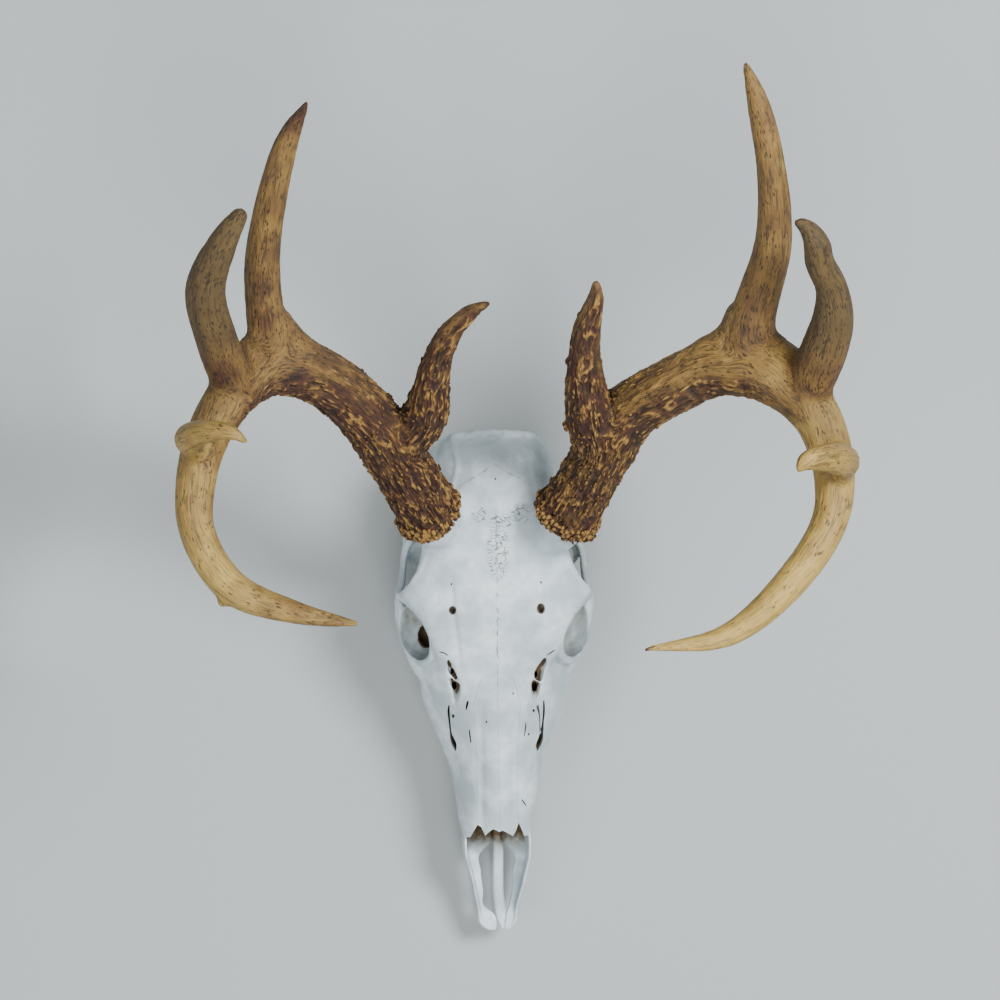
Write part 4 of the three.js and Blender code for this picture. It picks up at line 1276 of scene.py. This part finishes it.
def nasal_blade():
    """The thin upright blade in the slot between the premaxillae."""
    table = np.array(NASAL_BLADE, float)
    levels = np.linspace(table[0, 0], table[-1, 0], 80)
    rings = []
    for y, (middle, half, bottom, top) in zip(levels, blended(table[:, 0], table[:, 1:], levels)):
        turn = np.linspace(0, 2 * math.pi, 16, endpoint=False)
        x = middle + half * squared(np.cos(turn), 3)
        z = (top + bottom) / 2 + (top - bottom) / 2 * squared(np.sin(turn), 3)
        rings.append(np.column_stack([x, np.full(16, y), z]))
    return skin(np.array(rings))


def tooth_lobe(x, y, half_length, half_width, side):
    """One column of a cheek tooth, with a crescent valley in its worn face."""
    turn = np.linspace(0, 2 * math.pi, 28, endpoint=False)
    crescent = 1 - 0.16 * np.exp(-((np.abs(turn - (0 if side > 0 else math.pi)) / 0.5) ** 2))
    ribs = 1 + 0.05 * np.cos(turn * 6)
    rings = []
    for z, size in TOOTH_COLUMN:
        rings.append(np.column_stack([
            x + half_width * size * squared(np.cos(turn), 2.6) * crescent * ribs,
            y + half_length * size * squared(np.sin(turn), 2.6) * ribs,
            np.full(28, z),
        ]))
    return skin(np.array(rings))


def tooth_row(side):
    """The cheek teeth of one side, from the front one to the back one."""
    crowns = []
    front = TOOTH_ROW_FRONT_Y
    for length, width, lobes in TEETH:
        for lobe in range(lobes):
            y = front + length * (lobe + 0.5) / lobes
            overlap = 1.04 if lobes > 1 else 1.0
            crowns.append(tooth_lobe(side * tooth_x(y), y, length / lobes / 2 * overlap, width / 2, side))
        front += length + 0.2
    return joined(crowns)


# ---------- the antlers ----------


def antler_routes(name):
    """The centrelines of an antler's beam and tines."""
    return {key: Route(points, ANTLER_STEPS) for key, points in ANTLERS[name].items()}


def antler_foot(name):
    """The underside of an antler's burr, and the direction in which the antler grows there."""
    beam = antler_routes(name)["beam"]
    return beam.centres[0] - beam.tangents[0] * 5, beam.tangents[0]


def burr(name):
    """The crown round the antler's foot."""
    beam = antler_routes(name)["beam"]
    axis = beam.tangents[0] + BURR_LEAN * np.array([SIDES[name], -0.6, 0])
    axis /= np.linalg.norm(axis)
    sideways = np.cross(axis, beam.across[0])
    sideways /= np.linalg.norm(sideways)
    across = np.cross(sideways, axis)
    turn = np.linspace(0, 2 * math.pi, 96, endpoint=False)
    round_it = sideways * np.cos(turn)[:, None] + across * np.sin(turn)[:, None]
    wander = rough(round_it * 20, 6, 11 + SIDES[name]) + 0.5 * rough(round_it * 20, 2.4, 13 + SIDES[name])
    rings = []
    for distance, radius in BURR_PROFILE:
        reach = radius + wander * 0.9 * (radius > 16)
        rings.append(beam.centres[0] + axis * distance + round_it * reach[:, None])
    return skin(np.array(rings))


def grown(places, name):
    """Where points lie in an antler's growth: place, ripeness, relief, direction of the grain, and weathering
    with painted shade.

    The place holds two distances across the grain and one along it. Near a fork everything is
    blended between the beam and the tine.
    """
    routes = antler_routes(name)
    beam = routes["beam"]
    closeness = []
    rows = []
    for key, route in routes.items():
        squares = (places**2).sum(1)[:, None] - 2 * places @ route.centres.T + (route.centres**2).sum(1)
        nearest = squares.argmin(1)
        off = places - route.centres[nearest]
        forward = (off * route.tangents[nearest]).sum(1)
        sideways = (off * route.sideways[nearest]).sum(1)
        across = (off * route.across[nearest]).sum(1)
        start = 0.0
        if key != "beam":
            fork = np.linalg.norm(beam.centres - route.centres[0], axis=1).argmin()
            start = beam.lengths[fork]
        length = route.lengths[nearest] + forward
        share = np.clip(length / route.lengths[-1], 0, 1)
        low, high = RIPENESS[key]
        if key == "beam":
            ripe = np.clip(length / BEAM_RIPENING, 0, 1) ** RIPENING_CURVE[name]
            relief = np.clip(1.2 - length / 170, 0.1, 1)
        elif key == "brow":
            ripe = low + (high - low) * ramp(share, 0.5, 1.0)
            relief = np.clip(1.0 - share * 0.85, 0.2, 1)
        else:
            ripe = low + (high - low) * share
            relief = np.full(len(places), 0.14)
        stain, strength = TIP_STAIN[name].get(key, (1, 0))
        ripe = ripe * (1 - strength * ramp(route.lengths[-1] - length, stain, stain / 3))
        # Painted shade, partly weathering: the third tines turn greyer and darker along their length
        weather = ramp(share, 0.15, 0.45) * (key == "third")
        off_line = np.sqrt(sideways**2 + across**2 + np.minimum(forward, 0) ** 2)
        closeness.append(np.maximum(off_line / route.radii[nearest, 0], 0.2))
        rows.append(np.column_stack([
            sideways, across, length + start, ripe, relief, route.tangents[nearest], weather
        ]))
    closeness = np.array(closeness)
    weights = (closeness.min(0) / closeness) ** 9
    weights /= weights.sum(0)
    blend = sum(share[:, None] * row for share, row in zip(weights, rows))
    return blend[:, :3], blend[:, 3], blend[:, 4], blend[:, 5:8], blend[:, 8]


def relief_of(flow, seed):
    """Height of the grain from -1 to 1: long cords, shorter ones between them, and knobs."""
    bend = np.column_stack([rough(flow, 8, seed + 1), rough(flow, 8, seed + 2), np.zeros(len(flow))])
    bent = flow + 1.4 * bend
    long_cords = 1 - 3.4 * np.abs(rough(bent, (2.7, 2.7, 22), seed + 3))
    short_cords = 1 - 3.4 * np.abs(rough(bent, (1.5, 1.5, 7), seed + 4))
    knobs = rough(bent, (1.5, 1.5, 2.6), seed + 5)
    return np.clip(0.5 * long_cords + 0.5 * short_cords + 0.5 * knobs, -1.2, 1.2)


def antler_half(piece, name, grain, fillet, sizes):
    """Grows one length of an antler together and raises the ridges that follow its grain."""
    modified(piece, "REMESH", mode="VOXEL", voxel_size=grain)
    filled(piece, fillet, grain)
    modified(piece, "SMOOTH", factor=0.5, iterations=round(8 * SMOOTHED_GRAIN / grain))
    mesh = piece.data
    places = places_of(mesh)
    flow, ripe, relief, _, weather = grown(places, name)
    # Faces of the lower beam that turn towards the nose, where the beam lies at positive Y, are made darker
    # and rougher
    under = ramp(-normals_of(mesh)[:, 1], 0.1, 0.55) * ramp(flow[:, 2], 225, 165) * (places[:, 1] > 0)
    ripe = ripe * (1 - 0.7 * under)
    relief = np.maximum(relief, 0.8 * under)
    height = relief_of(flow, 20 + SIDES[name])
    swell = rough(flow, (16, 16, 40), 31 + SIDES[name]) * 0.7
    amount = height * relief * sizes.ridge_height * 1000 + swell
    move_to(mesh, places + normals_of(mesh) * amount[:, None])
    crest = 0.5 + 0.5 * np.clip(height, -1, 1) * np.clip(relief * 1.5, 0.15, 1)
    store_all(mesh, flow=flow, ripe=ripe, weather=weather, crest=crest)
    return piece


def antler(name, sizes):
    """One antler in two lengths, which meet between the brow tine and the main fork."""
    routes = antler_routes(name)
    rings = {key: route.rings(40, closed_tip=True) for key, route in routes.items()}
    meeting = routes["beam"].knots[3]
    lower = [skin(rings["beam"][: meeting + 2]), skin(rings["brow"]), burr(name)]
    upper = [skin(rings["beam"][meeting - 1 :])]
    for *centre, radius in KNOBS[name]:
        (lower if centre[1] > 0 else upper).append(ball((centre, [radius] * 3)))
    upper += [skin(rings[key]) for key in ("second", "third", "fourth")]
    upper += [skin(Route(web, 8).rings(32)) for web in WEBS[name]]
    lower = as_object("antler_" + name + "_lower", joined(lower))
    upper = as_object("antler_" + name + "_upper", joined(upper))
    return (
        antler_half(lower, name, sizes.base_grain, LOWER_FILLET, sizes),
        antler_half(upper, name, sizes.antler_grain, UPPER_FILLET, sizes),
    )


def bead(place, normal, grain, radius, long):
    """A pearl of bone, half sunk in and drawn out along the grain."""
    made = bmesh.new()
    turn = Matrix((grain, normal.cross(grain), normal)).transposed().to_4x4()
    size = Matrix.Diagonal((long, radius, radius, 1))
    shape = Matrix.Translation(place + normal * radius * 0.2) @ turn @ size
    bmesh.ops.create_uvsphere(made, u_segments=8, v_segments=5, radius=1, matrix=shape)
    return made


def pearls(name, lower, upper, sizes):
    """Beads of bone on the burr, the lower beam and the brow tine."""
    rng = np.random.default_rng(40 + SIDES[name])
    beam = antler_routes(name)["beam"]
    places = np.concatenate([places_of(lower.data)[::2], places_of(upper.data)])
    normals = np.concatenate([normals_of(lower.data)[::2], normals_of(upper.data)])
    flow, _, relief, grain, _ = grown(places, name)
    off = places - beam.centres[0]
    from_foot = off @ beam.tangents[0]
    rim = np.linalg.norm(off - from_foot[:, None] * beam.tangents[0], axis=1)
    on_burr = (from_foot < 5) & (from_foot > -4.5) & (rim > 17)
    chance = np.clip(relief - 0.3, 0, 1) ** 1.5 + 2.5 * on_burr
    chosen = rng.choice(len(places), sizes.pearl_count, replace=False, p=chance / chance.sum())
    beads = []
    heights = []
    for index in chosen:
        normal = Vector(normals[index])
        along = Vector(grain[index])
        along = (along - normal * along.dot(normal)).normalized()
        radius = sizes.pearl_size * 1000 * rng.uniform(0.5, 1.05) * (1.9 if on_burr[index] else 1)
        long = radius * (rng.uniform(1.0, 1.5) if on_burr[index] else rng.choice([1.1, 2, 3.2, 4.6]))
        place = Vector(places[index])
        beads.append(bead(place, normal, along, radius, long))
        worn = rng.uniform(0.4, 1.1) if on_burr[index] else rng.uniform(0.1, 0.7)
        heights.extend(worn * (vert.co - place).dot(normal) / radius for vert in beads[-1].verts)
    piece = as_object("antler_" + name + "_pearls", joined(beads))
    flow, ripe, _, _, weather = grown(places_of(piece.data), name)
    crest = np.clip(0.3 + np.array(heights), 0, 1)
    store_all(piece.data, flow=flow, ripe=ripe, weather=weather, crest=crest)
    return piece


# ---------- operators ----------


class BuildStage(bpy.types.Operator):
    """Sets the floor, the studio lights and the camera"""

    bl_idname = "deer_skull.stage"
    bl_label = "Stage"

    def execute(self, context):
        colours = context.scene.deer_skull_colours
        made = bmesh.new()
        bmesh.ops.create_grid(made, x_segments=1, y_segments=1, size=4000)
        floor = as_object("floor", made)
        floor.data.materials.append(matt_paint(colours))
        for name, place, size, power in LAMPS:
            lamp = bpy.data.lights.new(name, "AREA")
            lamp.shape = "DISK"
            lamp.size = size
            lamp.energy = power
            light = bpy.data.objects.new(name, lamp)
            light.location = place
            light.rotation_euler = (LAMP_AIM - Vector(place)).to_track_quat("-Z", "Y").to_euler()
            context.scene.collection.objects.link(light)
        world = bpy.data.worlds.new("studio")
        world.use_nodes = True
        sky = world.node_tree.nodes["Background"].inputs
        sky["Color"].default_value = linear(SKY)
        sky["Strength"].default_value = SKY_STRENGTH
        context.scene.world = world
        context.scene.camera = self.camera(context)
        return {"FINISHED"}

    def camera(self, context):
        """Above the skull, leaning a little towards -X."""
        towards = Vector((-math.sin(CAMERA_LEAN), 0, math.cos(CAMERA_LEAN)))
        right = Vector((math.cos(CAMERA_LEAN), 0, math.sin(CAMERA_LEAN)))
        right = Matrix.Rotation(-CAMERA_ROLL, 3, towards) @ right
        up = towards.cross(right)
        lens = bpy.data.cameras.new("camera")
        lens.lens = CAMERA_LENS
        camera = bpy.data.objects.new("camera", lens)
        turn = Matrix((right, up, towards)).transposed().to_4x4()
        place = (CAMERA_AIM + towards * CAMERA_DISTANCE) / 1000 + Vector(ORIGIN)
        camera.matrix_world = Matrix.Translation(place) @ turn
        context.scene.collection.objects.link(camera)
        return camera


class BuildBones(bpy.types.Operator):
    """Makes the cranium, upper jaws, cheek arches and nasal bones"""

    bl_idname = "deer_skull.bones"
    bl_label = "Bones"

    def execute(self, context):
        finish = bleached_bone(context.scene.deer_skull_colours)
        skull = whole_skull(context.scene.deer_skull_sizes)
        # Painted shade: how far bone hems in each point, stored on every bone as its hollow attribute
        occlusion = occlusion_shade(skull)
        for node, bone in part_bones(skull).items():
            store_hollow_shade(bone.data, occlusion)
            finish_piece(bone, finish, [node], crisp=math.radians(60))
        return {"FINISHED"}


class BuildNose(bpy.types.Operator):
    """Makes the premaxillae and the nasal blade at the front of the nose"""

    bl_idname = "deer_skull.nose"
    bl_label = "Nose"

    def execute(self, context):
        finish = bpy.data.materials["bleached_bone"]
        made = {"vomer": nasal_blade()}
        for name in SIDES:
            made["premaxilla_" + name] = premaxilla(name)
        for node, shape in made.items():
            piece = as_object(node + "_skin", shape)
            modified(piece, "REMESH", mode="VOXEL", voxel_size=NOSE_GRAIN)
            modified(piece, "SMOOTH", factor=0.5, iterations=4)
            places = places_of(piece.data)
            amount = 0.15 * rough(places, 8, 6) + 0.08 * rough(places, 2.5, 7)
            move_to(piece.data, places + normals_of(piece.data) * amount[:, None])
            # Painted shade inside the nose: darker towards the back, low down and towards the midline
            x, y, z = places.T
            deep = ramp(y, -218, -197) * ramp(z, 48, 34) * ramp(np.abs(x), 18.6, 17)
            store_all(piece.data, hollow=0.15 + 0.85 * deep)
            finish_piece(piece, finish, [node])
        return {"FINISHED"}


class BuildTeeth(bpy.types.Operator):
    """Makes the two rows of cheek teeth"""

    bl_idname = "deer_skull.teeth"
    bl_label = "Teeth"

    def execute(self, context):
        finish = tooth_enamel(context.scene.deer_skull_colours)
        for name, side in SIDES.items():
            piece = as_object("cheek_teeth_" + name, tooth_row(side))
            modified(piece, "REMESH", mode="VOXEL", voxel_size=TOOTH_GRAIN)
            modified(piece, "SMOOTH", factor=0.5, iterations=2)
            # The hollow value rises towards the jaw and in the valleys of the worn face, which turns them
            # brown
            level = places_of(piece.data)[:, 2]
            valley = ramp(level, 0.4, 2.0) * ramp(normals_of(piece.data)[:, 2], 0.2, -0.6)
            store_all(piece.data, hollow=0.15 + 0.5 * ramp(level, 7, 12) + 0.6 * valley)
            finish_piece(piece, finish)
        return {"FINISHED"}


class BuildAntlers(bpy.types.Operator):
    """Makes both antlers with their burrs, ridges and pearls"""

    bl_idname = "deer_skull.antlers"
    bl_label = "Antlers"

    def execute(self, context):
        sizes = context.scene.deer_skull_sizes
        finish = stained_antler(context.scene.deer_skull_colours)
        for name in SIDES:
            lower, upper = antler(name, sizes)
            beads = pearls(name, lower, upper, sizes)
            for piece, endings in ((lower, LOWER_NODES), (upper, UPPER_NODES)):
                finish_piece(piece, finish, ["antler_" + name + "_" + ending for ending in endings])
            finish_piece(beads, finish)
        return {"FINISHED"}


class DeerSkullPanel(bpy.types.Panel):
    """Lists the steps that build the skull, and its sizes and colours"""

    bl_idname = "VIEW3D_PT_deer_skull"
    bl_label = "Deer Skull"
    bl_space_type = "VIEW_3D"
    bl_region_type = "UI"
    bl_category = "Deer Skull"

    def draw(self, context):
        for step in (BuildStage, BuildBones, BuildNose, BuildTeeth, BuildAntlers):
            self.layout.operator(step.bl_idname)
        for group in (context.scene.deer_skull_sizes, context.scene.deer_skull_colours):
            for name in group.bl_rna.properties.keys():
                if name not in ("rna_type", "name"):
                    self.layout.prop(group, name)


CLASSES = (
    SkullColours, SkullSizes, BuildStage, BuildBones, BuildNose, BuildTeeth, BuildAntlers, DeerSkullPanel,
)


def register():
    for item in CLASSES:
        bpy.utils.register_class(item)
    bpy.types.Scene.deer_skull_colours = PointerProperty(type=SkullColours)
    bpy.types.Scene.deer_skull_sizes = PointerProperty(type=SkullSizes)


def unregister():
    del bpy.types.Scene.deer_skull_sizes
    del bpy.types.Scene.deer_skull_colours
    for item in reversed(CLASSES):
        bpy.utils.unregister_class(item)


def main():
    register()
    bpy.ops.deer_skull.stage()
    bpy.ops.deer_skull.bones()
    bpy.ops.deer_skull.nose()
    bpy.ops.deer_skull.teeth()
    bpy.ops.deer_skull.antlers()


if __name__ == "__main__":
    main()
